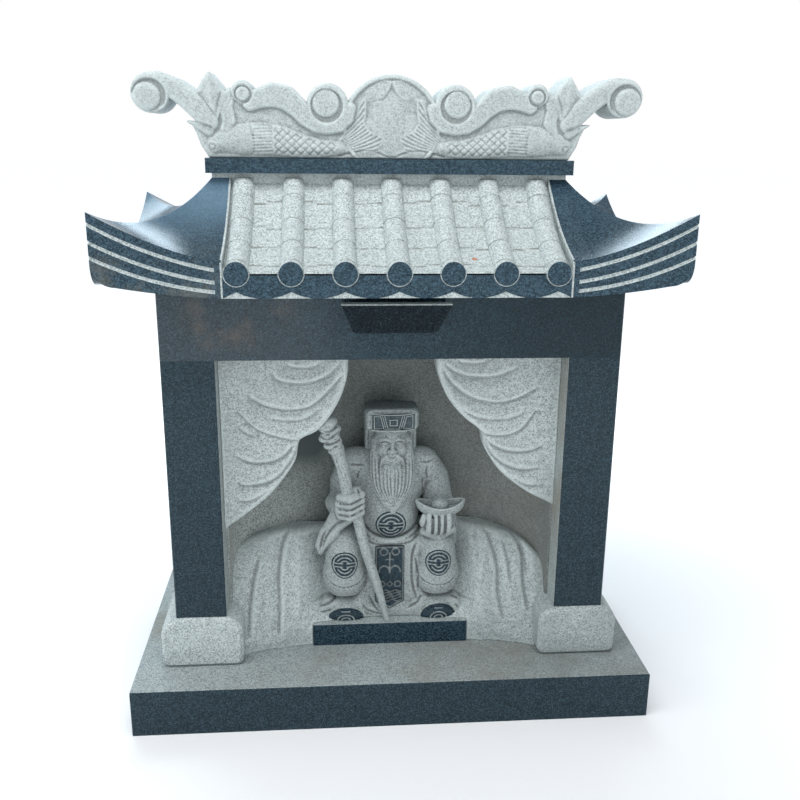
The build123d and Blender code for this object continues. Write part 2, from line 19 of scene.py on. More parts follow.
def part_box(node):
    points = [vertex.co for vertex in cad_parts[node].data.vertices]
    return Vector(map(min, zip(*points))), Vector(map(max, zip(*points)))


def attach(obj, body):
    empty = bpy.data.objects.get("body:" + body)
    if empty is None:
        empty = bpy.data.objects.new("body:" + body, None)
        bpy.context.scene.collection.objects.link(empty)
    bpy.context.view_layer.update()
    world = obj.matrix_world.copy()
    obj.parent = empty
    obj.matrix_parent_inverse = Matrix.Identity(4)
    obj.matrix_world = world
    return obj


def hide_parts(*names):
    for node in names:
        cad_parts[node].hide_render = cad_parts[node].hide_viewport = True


started = time.time()
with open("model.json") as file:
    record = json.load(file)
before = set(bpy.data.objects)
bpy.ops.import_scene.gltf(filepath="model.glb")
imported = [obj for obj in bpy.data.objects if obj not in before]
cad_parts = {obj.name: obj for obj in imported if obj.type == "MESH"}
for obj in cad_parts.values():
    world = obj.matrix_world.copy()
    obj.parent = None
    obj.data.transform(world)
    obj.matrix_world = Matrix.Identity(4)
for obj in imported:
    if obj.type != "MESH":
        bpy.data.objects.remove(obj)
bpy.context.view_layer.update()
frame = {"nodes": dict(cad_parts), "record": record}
print("nodes in the frame:", len(frame["nodes"]))

# %% [markdown]
# ## Camera
#
# A camera could be placed by eye, but a fitted one saves work later. This one stands a little to the left
# of the middle, above the level of the eaves, and looks down by about sixteen degrees.

# %% Camera
CAMERA_PLACE = Vector((-0.0974, -1.4283, 0.8834))
CAMERA_TURN = math.radians(4.675)
CAMERA_DOWN = math.radians(16.185)
CAMERA_ROLL = math.radians(-0.585)
CAMERA_LENS = 41.23


def placed(name, data):
    """A new object in the scene."""
    made = bpy.data.objects.new(name, data)
    bpy.context.scene.collection.objects.link(made)
    return made


def add_camera():
    """The scene's camera, turned, tipped and rolled as the values above say."""
    data = bpy.data.cameras.new("camera")
    data.sensor_width = 36.0
    data.lens = CAMERA_LENS
    camera = placed("camera", data)
    level = math.cos(CAMERA_DOWN)
    forward = Vector((math.sin(CAMERA_TURN) * level, math.cos(CAMERA_TURN) * level, -math.sin(CAMERA_DOWN)))
    turn = forward.to_track_quat("-Z", "Y").to_matrix().to_4x4()
    camera.matrix_world = Matrix.Translation(CAMERA_PLACE) @ turn @ Matrix.Rotation(-CAMERA_ROLL, 4, "Z")
    bpy.context.scene.camera = camera
    return camera


camera = add_camera()
print("camera lens in mm:", camera.data.lens)

# %% [markdown]
# ## Shader maths
#
# Node trees could be wired socket by socket, but long formulas get hard to read that way. A small class
# wraps a socket so that plain Python sums build the Math nodes, and one method makes every other node.


# %% Shader helpers
class Wire:
    """A socket that carries a number, with arithmetic that adds Math nodes."""

    def __init__(self, tree, socket):
        self.tree = tree
        self.socket = socket

    def _math(self, operation, *others):
        return self.tree.node("Math", {"operation": operation}, dict(enumerate([self, *others])))

    def __add__(self, other):
        return self._math("ADD", other)

    __radd__ = __add__

    def __mul__(self, other):
        return self._math("MULTIPLY", other)

    __rmul__ = __mul__

    def __sub__(self, other):
        return self._math("SUBTRACT", other)

    def __rsub__(self, other):
        return self.tree.node("Math", {"operation": "SUBTRACT"}, {0: other, 1: self})

    def __truediv__(self, other):
        return self._math("DIVIDE", other)

    def __neg__(self):
        return self._math("MULTIPLY", -1.0)

    def fraction(self):
        return self._math("FRACT")

    def least(self, other):
        return self._math("MINIMUM", other)

    def most(self, other):
        return self._math("MAXIMUM", other)

    def size(self):
        return self._math("ABSOLUTE")

    def above(self, low, high):
        """0 below low, 1 above high and a smooth rise between them."""
        settings = {"interpolation_type": "SMOOTHSTEP"}
        return self.tree.node("MapRange", settings, {0: self, 1: low, 2: high, 3: 0.0, 4: 1.0})


class Tree:
    """A node tree, filled from Python."""

    def __init__(self, tree):
        self.tree = tree

    def node(self, kind, settings=None, inputs=None, output=0):
        """A node of the given kind: its settings first, then the values or links of its sockets."""
        made = self.tree.nodes.new(kind if "Node" in kind else "ShaderNode" + kind)
        for key, value in (settings or {}).items():
            if key == "stops":
                self._stops(made, value)
            else:
                setattr(made, key, value)
        for key, value in (inputs or {}).items():
            self.feed(made.inputs[key], value)
        return Wire(self, made.outputs[output])

    @staticmethod
    def _stops(ramp, stops):
        elements = ramp.color_ramp.elements
        while len(elements) < len(stops):
            elements.new(0.5)
        for element, (place, colour) in zip(elements, stops):
            element.position = place
            element.color = (*colour, 1.0)

    def feed(self, socket, value):
        if isinstance(value, Wire):
            self.tree.links.new(value.socket, socket)
        else:
            socket.default_value = value

    def part(self, vector, axis):
        """One number of a vector: axis 0, 1 or 2."""
        return self.node("SeparateXYZ", None, {0: vector}, axis)


class Recipe(Tree):
    """One material. Its patterns read the object's own coordinates, in metres."""

    def __init__(self, name):
        self.material = bpy.data.materials.new(name)
        self.material.use_nodes = True
        super().__init__(self.material.node_tree)
        self.place = self.node("TexCoord", output=3)

    def mix(self, factor, a, b):
        """A colour between a and b."""
        colours = [(*c, 1.0) if isinstance(c, tuple) else c for c in (a, b)]
        return self.node("Mix", {"data_type": "RGBA"}, {0: factor, 6: colours[0], 7: colours[1]}, 2)

    def facing(self, axis):
        """How far the surface faces along an axis, from -1 to 1."""
        return self.part(self.node("NewGeometry", output=1), axis)

    def learned(self, name):
        """A number that the mesh carries on its points."""
        return self.node("Attribute", {"attribute_name": name}, output=2)

    def noise(self, scale, detail=2.0, rough=0.5):
        inputs = {"Vector": self.place, "Scale": scale, "Detail": detail, "Roughness": rough}
        return self.node("TexNoise", None, inputs)

    def cell_value(self, scale):
        """A random number for each cell."""
        colour = self.node("TexVoronoi", None, {"Vector": self.place, "Scale": scale}, 1)
        return self.node("SeparateColor", None, {0: colour}, 0)

    def finish(self, values):
        """The material, with its shader's sockets fed."""
        shader = self.tree.nodes["Principled BSDF"]
        for name, value in values.items():
            self.feed(shader.inputs[name], value)
        return self.material


# %% [markdown]
# ## Granite
#
# Granite is a packed mass of three minerals: pale feldspar, grey quartz and black mica, in grains of one to
# four millimetres. An image of stone would blur or repeat, so random cells at the grains' real size give
# each grain its own tone. Polish fills the surface with a clear film of light and the grains sink into dark
# blue-grey, while honing scatters the light and bleaches them.

# %% The two finishes of the stone
COARSE_GRAINS = 520.0  # cells to a metre
FINE_GRAINS = 980.0
MICA_GRAINS = 700.0
BRIGHT_GRAINS = 900.0
HONED_LIGHT = (0.615, 0.675, 0.665)
HONED_DARK = (0.27, 0.315, 0.32)
MICA = (0.085, 0.10, 0.105)
POLISHED_LIGHT = (0.030, 0.055, 0.075)
POLISHED_DARK = (0.003, 0.008, 0.013)
BRIGHT_GRAIN = (0.20, 0.28, 0.34)
# The next two colours darken the stone: the first in hollows, partly as dirt and partly as painted shade, the
# second as painted shade over the niche and low on the right.
GRIME_AND_SHADE = (0.16, 0.1696, 0.1664)
PAINTED_SHADE = (0.12, 0.144, 0.144)
SOIL = (0.27, 0.22, 0.15)
SHEEN_TINT = (0.70, 0.92, 1.0, 1.0)
NO_TINT = (1.0, 1.0, 1.0, 1.0)


def toned(colour, tone):
    """A colour made lighter or darker."""
    return tuple(c * tone for c in colour)


def feldspar(recipe):
    """How much pale feldspar each grain holds, from coarse and fine grains together."""
    return recipe.cell_value(COARSE_GRAINS) * 0.5 + recipe.cell_value(FINE_GRAINS) * 0.5


def honed_colour(recipe, tone=1.0, grain=1.0):
    """Pale grey stone with dark grains, drifting a little from place to place."""
    mica = recipe.cell_value(MICA_GRAINS).above(0.84, 0.88)
    drift = recipe.noise(11.0, 3.0)
    light = toned(HONED_LIGHT, tone)
    pale = 1.0 - (1.0 - feldspar(recipe).above(0.12, 0.72)) * grain
    base = recipe.mix(pale, toned(HONED_DARK, tone), light)
    base = recipe.mix(mica * (0.5 * grain), base, toned(MICA, tone))
    return recipe.mix((drift - 0.38).most(0.0) * 0.8, base, toned(light, 0.70))


def polished_colour(recipe, tone=1.0):
    """Blue-black stone with scattered pale grains."""
    pale = feldspar(recipe).above(0.25, 0.90)
    base = recipe.mix(pale, toned(POLISHED_DARK, tone), toned(POLISHED_LIGHT, tone))
    bright = recipe.cell_value(BRIGHT_GRAINS).above(0.88, 0.97)
    return recipe.mix(bright * 0.16, base, BRIGHT_GRAIN)


def roughness_of(recipe, mean, spread):
    """A roughness that wanders about its mean."""
    return recipe.noise(60.0, 3.0) * (2.0 * spread) + (mean - spread)


def worked_bump(recipe):
    """Fine pits that the tools leave in the stone."""
    pits = recipe.noise(700.0, 2.0, 0.6)
    return recipe.node("Bump", None, {"Strength": 0.22, "Distance": 0.0006, "Height": pits})


def granite(
    name, tone=1.0, grain=1.0, grime_and_shade=1.0, soil=None, shade=None, polish=None, depth=1.0, level=0.38, reflection_and_dust=None
):
    """A granite material, honed all over or polished in places.

    tone lightens or darkens the honed stone, depth the polished stone, and level is how much it shines.
    grain and grime set the contrast of the grains and of the dirt and painted shade in hollows, and ridges
    get wear and a painted highlight. soil, shade and polish each say where the stone is stained brown, given
    painted shade or polished, and film lays painted reflection and dust over all of it."""
    recipe = Recipe(name)
    hollow = recipe.learned("hollow")
    colour = honed_colour(recipe, tone, grain)
    # hollows are darkened with dirt and painted shade, and ridges lightened with wear and a painted highlight
    dirt_and_shade = hollow.above(0.05, 1.5) * (recipe.noise(24.0, 4.0, 0.65) * 0.7 + 0.55) * grime_and_shade
    colour = recipe.mix(dirt_and_shade.least(0.88), colour, toned(GRIME_AND_SHADE, tone))
    wear_and_highlight = (-hollow).above(0.15, 1.6)
    colour = recipe.mix(wear_and_highlight * 0.40, colour, toned(HONED_LIGHT, 1.18 * tone))
    if soil:
        colour = recipe.mix(soil(recipe), colour, toned(SOIL, tone))
    if shade:
        colour = recipe.mix(shade(recipe), colour, toned(PAINTED_SHADE, tone))
    rough = roughness_of(recipe, 0.74, 0.06)
    if polish:
        shine = polish(recipe)
        colour = recipe.mix(shine, colour, polished_colour(recipe, depth))
        rough = rough - shine * 0.60
    if reflection_and_dust:
        colour = reflection_and_dust(recipe, colour)
    return recipe.finish({
        "Base Color": colour,
        "Roughness": rough,
        "Normal": worked_bump(recipe),
        "Specular IOR Level": level if polish else 0.30,
        "Specular Tint": SHEEN_TINT if polish else NO_TINT,
    })


def polished(name, depth=1.0, reflection_and_dust=None):
    """A granite material that is polished all over."""
    recipe = Recipe(name)
    colour = polished_colour(recipe, depth)
    return recipe.finish({
        "Base Color": reflection_and_dust(recipe, colour) if reflection_and_dust else colour,
        "Roughness": roughness_of(recipe, 0.12, 0.03),
        "Specular IOR Level": 0.38,
        "Specular Tint": SHEEN_TINT,
    })


# %% Where the polish stops
ARRIS = 0.0004  # metres over which the polish ends


def painted(recipe):
    """The polish that a piece carries on its own points."""
    return recipe.learned("polish")


def below(height):
    """Polished up to a height in metres and honed above it, as on the top of a sawn slab."""
    return lambda recipe: 1.0 - recipe.part(recipe.place, 2).above(height - ARRIS, height)


def outside(reach):
    """Polished further from the middle than a distance in metres, and honed on the reveal inside it."""
    return lambda recipe: recipe.part(recipe.place, 0).size().above(reach, reach + ARRIS)


# %% Where soil and dust lie, and where light and shade are painted
# a painted reflection of the pale sky on the roof's upper faces
PAINTED_SKY_SHEEN = (0.21, 0.34, 0.46)
BROWN_DUST = (0.17, 0.15, 0.11)
# painted reflections of the lit ground and sky on the beam's polished face, and painted shade at its right
BEAM_GROUND_REFLECTION = (0.20, 0.13, 0.085)
BEAM_LEFT_SHEEN = (0.36, 0.33, 0.30)
BEAM_RIGHT_SHADE = (0.001, 0.002, 0.003)


def across_and_up(recipe):
    """The x and the z of each point of the surface."""
    return recipe.part(recipe.place, 0), recipe.part(recipe.place, 2)


def patches(recipe, scale, low, high, rough=0.6):
    """1 in the middle of irregular patches and 0 between them."""
    return recipe.noise(scale, 4.0, rough).above(low, high)


def trodden(recipe):
    """Soil that gathers on a ledge in patches."""
    return patches(recipe, 7.0, 0.42, 0.80) * 0.55


def niche_soil(recipe):
    """Brown water stains over the whole niche, stronger towards the right."""
    right = recipe.part(recipe.place, 0).above(0.02, 0.26)
    return 0.17 + right * (0.18 + patches(recipe, 9.0, 0.35, 0.75) * 0.24)


def niche_painted_shade(recipe):
    """Painted shade over the niche, less at its foot on the left, and a painted shadow in the corner under
    the left curtain.
    """
    x, z = across_and_up(recipe)
    # the corner's darkening is a painted shadow cast by the left curtain
    corner = (-x).above(0.085, 0.125) * (1.0 - (-x).above(0.170, 0.215))
    foot = (-x).above(0.09, 0.17) * (1.0 - z.above(0.30, 0.40))
    painted_wall_shade = (1.0 - foot) * (0.38 + patches(recipe, 14.0, 0.3, 0.8) * 0.18)
    return painted_wall_shade + corner * z.above(0.33, 0.39) * 0.90


def sky_sheen_and_dust(recipe, colour):
    """Painted sky reflection on the upper faces of the roof's ends, strong on the left, and brown dust low on
    the left.
    """
    x, z = across_and_up(recipe)
    patch = recipe.noise(18.0, 4.0, 0.6) * 0.5 + 0.55
    sheen_strength = (-x).above(-0.01, 0.01) * 0.52 + 0.06
    sky_sheen = recipe.facing(2).above(0.35, 0.75) * z.above(0.73, 0.80) * sheen_strength * patch
    colour = recipe.mix(sky_sheen, colour, PAINTED_SKY_SHEEN)
    stain = patches(recipe, 21.0, 0.40, 0.72, 0.65) * (-x).above(0.22, 0.26)
    return recipe.mix(stain * (1.0 - z.above(0.70, 0.745)) * 0.45, colour, BROWN_DUST)


def beam_painted_reflections(recipe, colour):
    """Painted reflections on the beam's face: brown streaks of lit ground and a pale sheen at the left,
    painted shade at the right.
    """
    x, z = across_and_up(recipe)
    ground_reflection = patches(recipe, 13.0, 0.46, 0.68, 0.65)
    left = (-x).above(0.13, 0.20) * (1.0 - (-x).above(0.27, 0.32)) * z.above(0.575, 0.60)
    face = (-recipe.facing(1)).above(0.5, 0.6)
    colour = recipe.mix(left * ground_reflection * face * 0.42, colour, BEAM_GROUND_REFLECTION)
    colour = recipe.mix((-x).above(0.02, 0.15) * face * 0.08, colour, BEAM_LEFT_SHEEN)
    return recipe.mix(x.above(-0.05, 0.25) * face * 0.55, colour, BEAM_RIGHT_SHADE)


def painted_shade_low_right(recipe):
    """Painted shade low on the right, in patches, where the wall behind shades the stone."""
    x, z = across_and_up(recipe)
    patch = patches(recipe, 11.0, 0.25, 0.75)
    return x.above(0.04, 0.28) * (1.0 - z.above(0.26, 0.42)) * (0.14 + patch * 0.22)


def tan_reveal(recipe):
    """Brown dust on the inner reveals, mostly of the right-hand post."""
    x, z = across_and_up(recipe)
    dust = recipe.noise(16.0, 3.0).above(0.2, 0.7)
    return (x.above(0.24, 0.25) * 0.45 + 0.08) * z.above(0.15, 0.30) * dust


# %% One material for each kind of surface
def top_of(node):
    """Height of a node's top, in metres."""
    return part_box(node)[1][2]


POST_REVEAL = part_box("right_front_post")[0][0] + 0.0002
WING_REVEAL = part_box("roof_core")[1][0] + 0.0006
BOARD_BEVEL = 0.0022

# The same stone takes a different tone on each piece: the figure, the niche and the base are darker partly
# for dirt and partly as painted shade, and the roof's polish is lighter as a painted reflection of the sky.
honed_granite = granite("honed granite", 0.95, grain=0.75)
crest_granite = granite("crest granite", 0.90, grime_and_shade=0.55, grain=0.7)
cloth_granite = granite("cloth granite", 0.98, grime_and_shade=0.5, shade=painted_shade_low_right)
foot_granite = granite("foot granite", 1.0, shade=painted_shade_low_right)
figure_granite = granite("figure granite", 0.73, grime_and_shade=0.85)
niche_granite = granite("niche granite", 0.88, grain=1.35, soil=niche_soil, shade=niche_painted_shade)
worked_granite = granite("worked granite", 0.66, polish=painted)
polished_granite = polished("polished granite")
base_polish = below(top_of("base_slab") - ARRIS)
base_granite = granite("base granite", 0.74, soil=trodden, shade=painted_shade_low_right, polish=base_polish)
plinth_granite = granite("plinth granite", 0.85, polish=below(top_of("figure_plinth") - ARRIS), depth=1.7)
post_granite = granite("post granite", 0.80, soil=tan_reveal, polish=outside(POST_REVEAL), depth=0.9)
wing_granite = granite("wing granite", 0.95, polish=outside(WING_REVEAL), depth=1.9, reflection_and_dust=sky_sheen_and_dust)
roof_granite = polished("roof granite", 1.9)
lintel_granite = polished("lintel granite", 1.2, beam_painted_reflections)
board_polish = below(top_of("name_board") - BOARD_BEVEL)
board_granite = granite("board granite", 0.6, polish=board_polish, depth=0.35, level=0.16)
print("materials:", [m.name for m in bpy.data.materials])

# %% Finish for each sawn node
SAWN = {
    "base_slab": base_granite,
    "figure_plinth": plinth_granite,
    "front_post": post_granite,
    "niche_panel": niche_granite,
    "foot_stone": foot_granite,
    "roof_wing": wing_granite,
    "eave_band": roof_granite,
    "tile_ends": roof_granite,
    "ridge_slab": roof_granite,
    "front_lintel": lintel_granite,
    "name_board": board_granite,
}
slots = {part["node"]: part["material_slot"] for part in frame["record"]["subparts"]}
for name, node in frame["nodes"].items():
    plain = polished_granite if slots[name] == "polished_granite" else honed_granite
    finish = next((material for ending, material in SAWN.items() if name.endswith(ending)), plain)
    node.data.materials.clear()
    node.data.materials.append(finish)
    print(name, "is", finish.name)

# %% [markdown]
# ## Floor and light
#
# Stone like this is sold out of doors, under a bright overcast sky. A plain white world would light the
# niche as strongly as the roof. So the sky is bright near the horizon, where it is the background, dimmer
# above it, and one large soft lamp overhead does most of the work. The floor turns white with distance, so
# that no horizon shows.

# %% Floor, sky and lamps
FLOOR_SIZE = 60.0
FLOOR_GLOW = 0.60
SKY_AT_HORIZON = (1.0, 1.0, 1.0)
SKY_ABOVE = (0.43, 0.47, 0.51)
CLOUD_BLUE = (0.76, 0.90, 1.0)


def add_floor():
    """A plain pale floor just under the base."""
    mesh = bpy.data.meshes.new("floor")
    half = FLOOR_SIZE / 2
    corners = [(-half, -half, 0), (half, -half, 0), (half, half, 0), (-half, half, 0)]
    mesh.from_pydata(corners, [], [(0, 1, 2, 3)])
    floor = placed("floor", mesh)
    recipe = Recipe("pale floor")
    away = recipe.node("VectorMath", {"operation": "LENGTH"}, {0: recipe.place}, 1)
    soft = recipe.noise(3.0, 2.0)
    glow = recipe.mix(away.above(0.35, 1.9), (0.20, 0.20, 0.20), (1.0, 1.0, 1.0))
    mesh.materials.append(
        recipe.finish({
            "Base Color": recipe.mix(soft * 0.2, (0.86, 0.86, 0.86), (0.80, 0.80, 0.81)),
            "Roughness": 0.9,
            "Specular IOR Level": 0.0,
            "Emission Color": glow,
            "Emission Strength": FLOOR_GLOW,
        })
    )


def add_lamp(name, place, target, size, power, colour=(1.0, 1.0, 1.0)):
    """A soft square lamp at a place, aimed at a target."""
    data = bpy.data.lights.new(name, "AREA")
    data.shape = "RECTANGLE"
    data.size, data.size_y = size
    data.energy = power
    data.color = colour
    lamp = placed(name, data)
    aim = (Vector(target) - Vector(place)).to_track_quat("-Z", "Y")
    lamp.matrix_world = Matrix.Translation(place) @ aim.to_matrix().to_4x4()
    lamp.visible_camera = False


def add_sky():
    """Bright near the horizon and dimmer higher up."""
    world = bpy.data.worlds.new("studio")
    world.use_nodes = True
    sky = Tree(world.node_tree)
    height = sky.part(sky.node("TexCoord"), 2)
    colour = sky.node("ValToRGB", {"stops": [(0.15, SKY_AT_HORIZON), (0.34, SKY_ABOVE)]}, {0: height})
    sky.feed(world.node_tree.nodes["Background"].inputs[0], colour)
    bpy.context.scene.world = world


add_floor()
add_sky()
bpy.context.scene.view_settings.view_transform = "Standard"
add_lamp("overhead", (-0.30, -0.95, 2.7), (0, 0, 0.5), (2.2, 1.5), 39.0)
add_lamp("left sky", (-2.5, -1.0, 1.7), (-0.1, 0, 0.5), (1.8, 1.4), 16.0, (0.86, 0.94, 1.0))
add_lamp("right sky", (0.40, 1.9, 1.8), (-0.3, 0, 0.8), (1.0, 0.8), 12.0, CLOUD_BLUE)
add_lamp("bright sky", (-0.75, 1.75, 2.2), (-0.3, 0, 0.7), (1.9, 1.0), 30.0, CLOUD_BLUE)
print("lamps:", [light.name for light in bpy.data.lights])

# %% [markdown]
# ## Carving
#
# Carved stone has soft edges, undercuts and forms that run into each other. Pushing vertices about by hand
# would take days, so the carving works on distances instead. A block is a grid of numbers that say how far
# each grid point is from the stone's surface, below zero inside. Adding a form takes the lesser distance,
# cutting one away takes the greater, and a rounded version of both makes the joins soft. The surface is
# then wrapped once, with one vertex in each grid cell that the surface crosses.


# %% Soft joins
def soft_min(a, b, blend):
    """The lesser of two distances, with the corner between them filled by a round of size blend."""
    if blend <= 0:
        return np.minimum(a, b)
    share = np.clip(0.5 + 0.5 * (b - a) / blend, 0.0, 1.0)
    return b + (a - b) * share - blend * share * (1.0 - share)


def soft_max(a, b, blend):
    """The greater of two distances, with the same soft corner."""
    return -soft_min(-a, -b, blend)


# %% Forms to add or cut away
def ball(centre, radii, turn=0.0, tip=0.0):
    """An ellipsoid, turned about the upright axis and tipped sideways, both in degrees."""
    c = np.array(centre, float)
    r = np.array(radii, float)
    cos_turn, sin_turn = math.cos(math.radians(turn)), math.sin(math.radians(turn))
    cos_tip, sin_tip = math.cos(math.radians(tip)), math.sin(math.radians(tip))
    reach = r.max() if turn or tip else r

    def distance(x, y, z):
        px, py, pz = x - c[0], y - c[1], z - c[2]
        px, py = px * cos_turn + py * sin_turn, py * cos_turn - px * sin_turn
        px, pz = px * cos_tip + pz * sin_tip, pz * cos_tip - px * sin_tip
        k0 = np.sqrt((px / r[0]) ** 2 + (py / r[1]) ** 2 + (pz / r[2]) ** 2)
        k1 = np.sqrt((px / r[0] ** 2) ** 2 + (py / r[1] ** 2) ** 2 + (pz / r[2] ** 2) ** 2)
        return k0 * (k0 - 1.0) / np.maximum(k1, 1e-6)

    return c - reach, c + reach, distance


def limb(points, radii, flat=1.0):
    """A round bar through points, with a radius at each; flat below 1 makes it thinner from front to back."""
    p = np.array(points, float)
    r = np.broadcast_to(np.array(radii, float), (len(p),))

    def distance(x, y, z):
        best = np.inf
        for a, b, ra, rb in zip(p[:-1], p[1:], r[:-1], r[1:]):
            run = b - a
            long = max(float(run @ run), 1e-9)
            t = np.clip(((x - a[0]) * run[0] + (y - a[1]) * run[1] + (z - a[2]) * run[2]) / long, 0.0, 1.0)
            off_y = (y - a[1] - t * run[1]) / flat
            off = np.sqrt((x - a[0] - t * run[0]) ** 2 + off_y**2 + (z - a[2] - t * run[2]) ** 2)
            best = np.minimum(best, (off - (ra + (rb - ra) * t)) * min(1.0, 0.5 + 0.5 * flat))
        return best

    return (p - r[:, None]).min(0), (p + r[:, None]).max(0), distance


def brick(low, high, corner):
    """A box with rounded edges."""
    low, high = np.array(low, float), np.array(high, float)
    centre, half = (low + high) / 2, (high - low) / 2 - corner

    def distance(x, y, z):
        q = [np.abs(v - centre[i]) - half[i] for i, v in enumerate((x, y, z))]
        outside = np.sqrt(sum(np.maximum(v, 0.0) ** 2 for v in q))
        return outside + np.minimum(np.maximum(np.maximum(q[0], q[1]), q[2]), 0.0) - corner

    return low, high, distance


# %% The block itself
OPEN_AIR = 60.0  # millimetres, where no form has come near
CLOSED_EDGE = 9.0  # written on a block's outermost points, so that its surface always closes


def smooth_path(points, spacing=1.6):
    """Evenly spaced points on a smooth curve through a few given ones."""
    p = np.array(points, float)
    ends = np.vstack([2 * p[0] - p[1], p, 2 * p[-1] - p[-2]])
    out = []
    for i in range(1, len(ends) - 2):
        count = max(2, int(np.linalg.norm(ends[i + 1] - ends[i]) / spacing))
        t = np.linspace(0.0, 1.0, count, endpoint=False)[:, None]
        a, b, c, d = ends[i - 1], ends[i], ends[i + 1], ends[i + 2]
        cubic = (2 * a - 5 * b + 4 * c - d) * t**2 + (3 * b - a - 3 * c + d) * t**3
        out.append(0.5 * (2 * b + (c - a) * t + cubic))
    return np.vstack(out + [p[-1:]])


class Block:
    """Distances on a grid over a box given in millimetres."""

    def __init__(self, low, high, step):
        self.low = np.array(low, float)
        self.step = np.broadcast_to(np.array(step, float), (3,))
        counts = np.ceil((np.array(high, float) - self.low) / self.step).astype(int) + 1
        self.axes = [self.low[i] + self.step[i] * np.arange(counts[i]) for i in range(3)]
        self.d = np.full(counts, OPEN_AIR, np.float32)

    def window(self, low, high):
        """The part of the grid round a box, as slices and as coordinates."""
        cuts = []
        for i, axis in enumerate(self.axes):
            first = int(np.clip((low[i] - self.low[i]) / self.step[i] - 1, 0, len(axis) - 1))
            last = int(np.clip((high[i] - self.low[i]) / self.step[i] + 3, 1, len(axis)))
            cuts.append(slice(first, max(last, first + 1)))
        sparse = np.meshgrid(*[axis[cut] for axis, cut in zip(self.axes, cuts)], indexing="ij", sparse=True)
        return tuple(cuts), sparse

    def add(self, form, blend=2.0):
        """Stone is added in the shape of a form."""
        low, high, distance = form
        cuts, grid = self.window(low - blend - 3, high + blend + 3)
        self.d[cuts] = soft_min(self.d[cuts], distance(*grid).astype(np.float32), blend)

    def cut(self, form, blend=1.0):
        """Stone is cut away in the shape of a form."""
        low, high, distance = form
        cuts, grid = self.window(low - blend - 1, high + blend + 1)
        self.d[cuts] = soft_max(self.d[cuts], -distance(*grid).astype(np.float32), blend)

    def points(self):
        """The x, y and z of every grid point."""
        return np.meshgrid(*self.axes, indexing="ij", sparse=True)

    def seen(self):
        """The x and z of the grid as seen from the front."""
        return self.axes[0][:, None], self.axes[2][None, :]

    def trim(self, distance, blend=0.0):
        """Only what lies inside a distance map stays."""
        self.d = soft_max(self.d, np.asarray(distance, np.float32), blend).astype(np.float32)

    def engrave(self, depth, y_limit):
        """The front is sunk by a map of depths over x and z, wherever it stands before y_limit."""
        y = self.axes[1][None, :, None]
        self.d = np.where(y < y_limit, self.d + depth[:, None, :], self.d).astype(np.float32)

    def front(self, x, z):
        """How far back the stone's front lies behind each point (x, z); nan where there is none."""
        i = np.clip(((x - self.low[0]) / self.step[0]).round().astype(int), 0, self.d.shape[0] - 1)
        k = np.clip(((z - self.low[2]) / self.step[2]).round().astype(int), 0, self.d.shape[2] - 1)
        columns = self.d[i, :, k]
        j = (columns < 0).argmax(1)
        rows = np.arange(len(j))
        before, after = columns[rows, np.maximum(j - 1, 0)], columns[rows, j]
        drop = np.where(before == after, 1, before - after)
        y = self.axes[1][np.maximum(j - 1, 0)] + self.step[1] * before / drop
        return np.where(j > 0, y, np.nan)

    def _on_front(self, points):
        """A smooth path through points (x, z), laid on the stone's front."""
        path = smooth_path(points)
        y = self.front(path[:, 0], path[:, 1])
        good = ~np.isnan(y)
        return np.column_stack([path[:, 0], y, path[:, 1]])[good]

    def crease(self, points, width, depth, blend=1.2):
        """Cuts a groove into the front along points (x, z), fading out at both ends."""
        path = self._on_front(points)
        if len(path) < 3:
            return
        fade = np.sin(np.linspace(0.12, math.pi - 0.12, len(path))) ** 0.5
        radius = max(width / 2, depth) * np.ones(len(path))
        path[:, 1] += depth * fade - radius
        for n in range(0, len(path) - 1, 4):
            part = slice(n, min(n + 5, len(path)))
            self.cut(limb(path[part], radius[part]), blend)

    def cord(self, points, width, height, blend=1.5):
        """Raises a rounded cord on the front along points (x, z)."""
        path = self._on_front(points)
        path[:, 1] += width / 2 - height
        self.add(limb(path, np.full(len(path), width / 2)), blend)


# %% Wrap the surface
def wrap(block):
    """Vertices in metres and four-sided faces of a block's surface, facing out of the stone."""
    d = block.d.copy()
    d[0] = d[-1] = d[:, 0] = d[:, -1] = d[:, :, 0] = d[:, :, -1] = CLOSED_EDGE
    inside = d < 0
    cells = np.array(d.shape) - 1
    weight = np.array([cells[1] * cells[2], cells[2], 1])
    keys, places, quads = [], [], []
    for axis in range(3):
        near = tuple(slice(0, -1) if i == axis else slice(None) for i in range(3))
        far = tuple(slice(1, None) if i == axis else slice(None) for i in range(3))
        at = np.argwhere(inside[near] != inside[far])
        d0, d1 = d[near][tuple(at.T)], d[far][tuple(at.T)]
        point = at.astype(float)
        point[:, axis] += d0 / (d0 - d1)
        u, v = [(1, 2), (2, 0), (0, 1)][axis]
        ring = []
        for du, dv in ((1, 1), (0, 1), (0, 0), (1, 0)):
            cell = at.copy()
            cell[:, u] -= du
            cell[:, v] -= dv
            key = cell @ weight
            ring.append(key)
            keys.append(key)
            places.append(point)
        ring = np.stack(ring, 1)
        quads.append(np.where((d0 < 0)[:, None], ring, ring[:, ::-1]))
    keys, places, quads = np.concatenate(keys), np.concatenate(places), np.concatenate(quads)
    used, index = np.unique(keys, return_inverse=True)
    share = np.bincount(index).astype(float)
    vertices = np.stack([np.bincount(index, places[:, i]) / share for i in range(3)], 1)
    vertices = (block.low + vertices * block.step) * 0.001
    return vertices, np.searchsorted(used, quads)


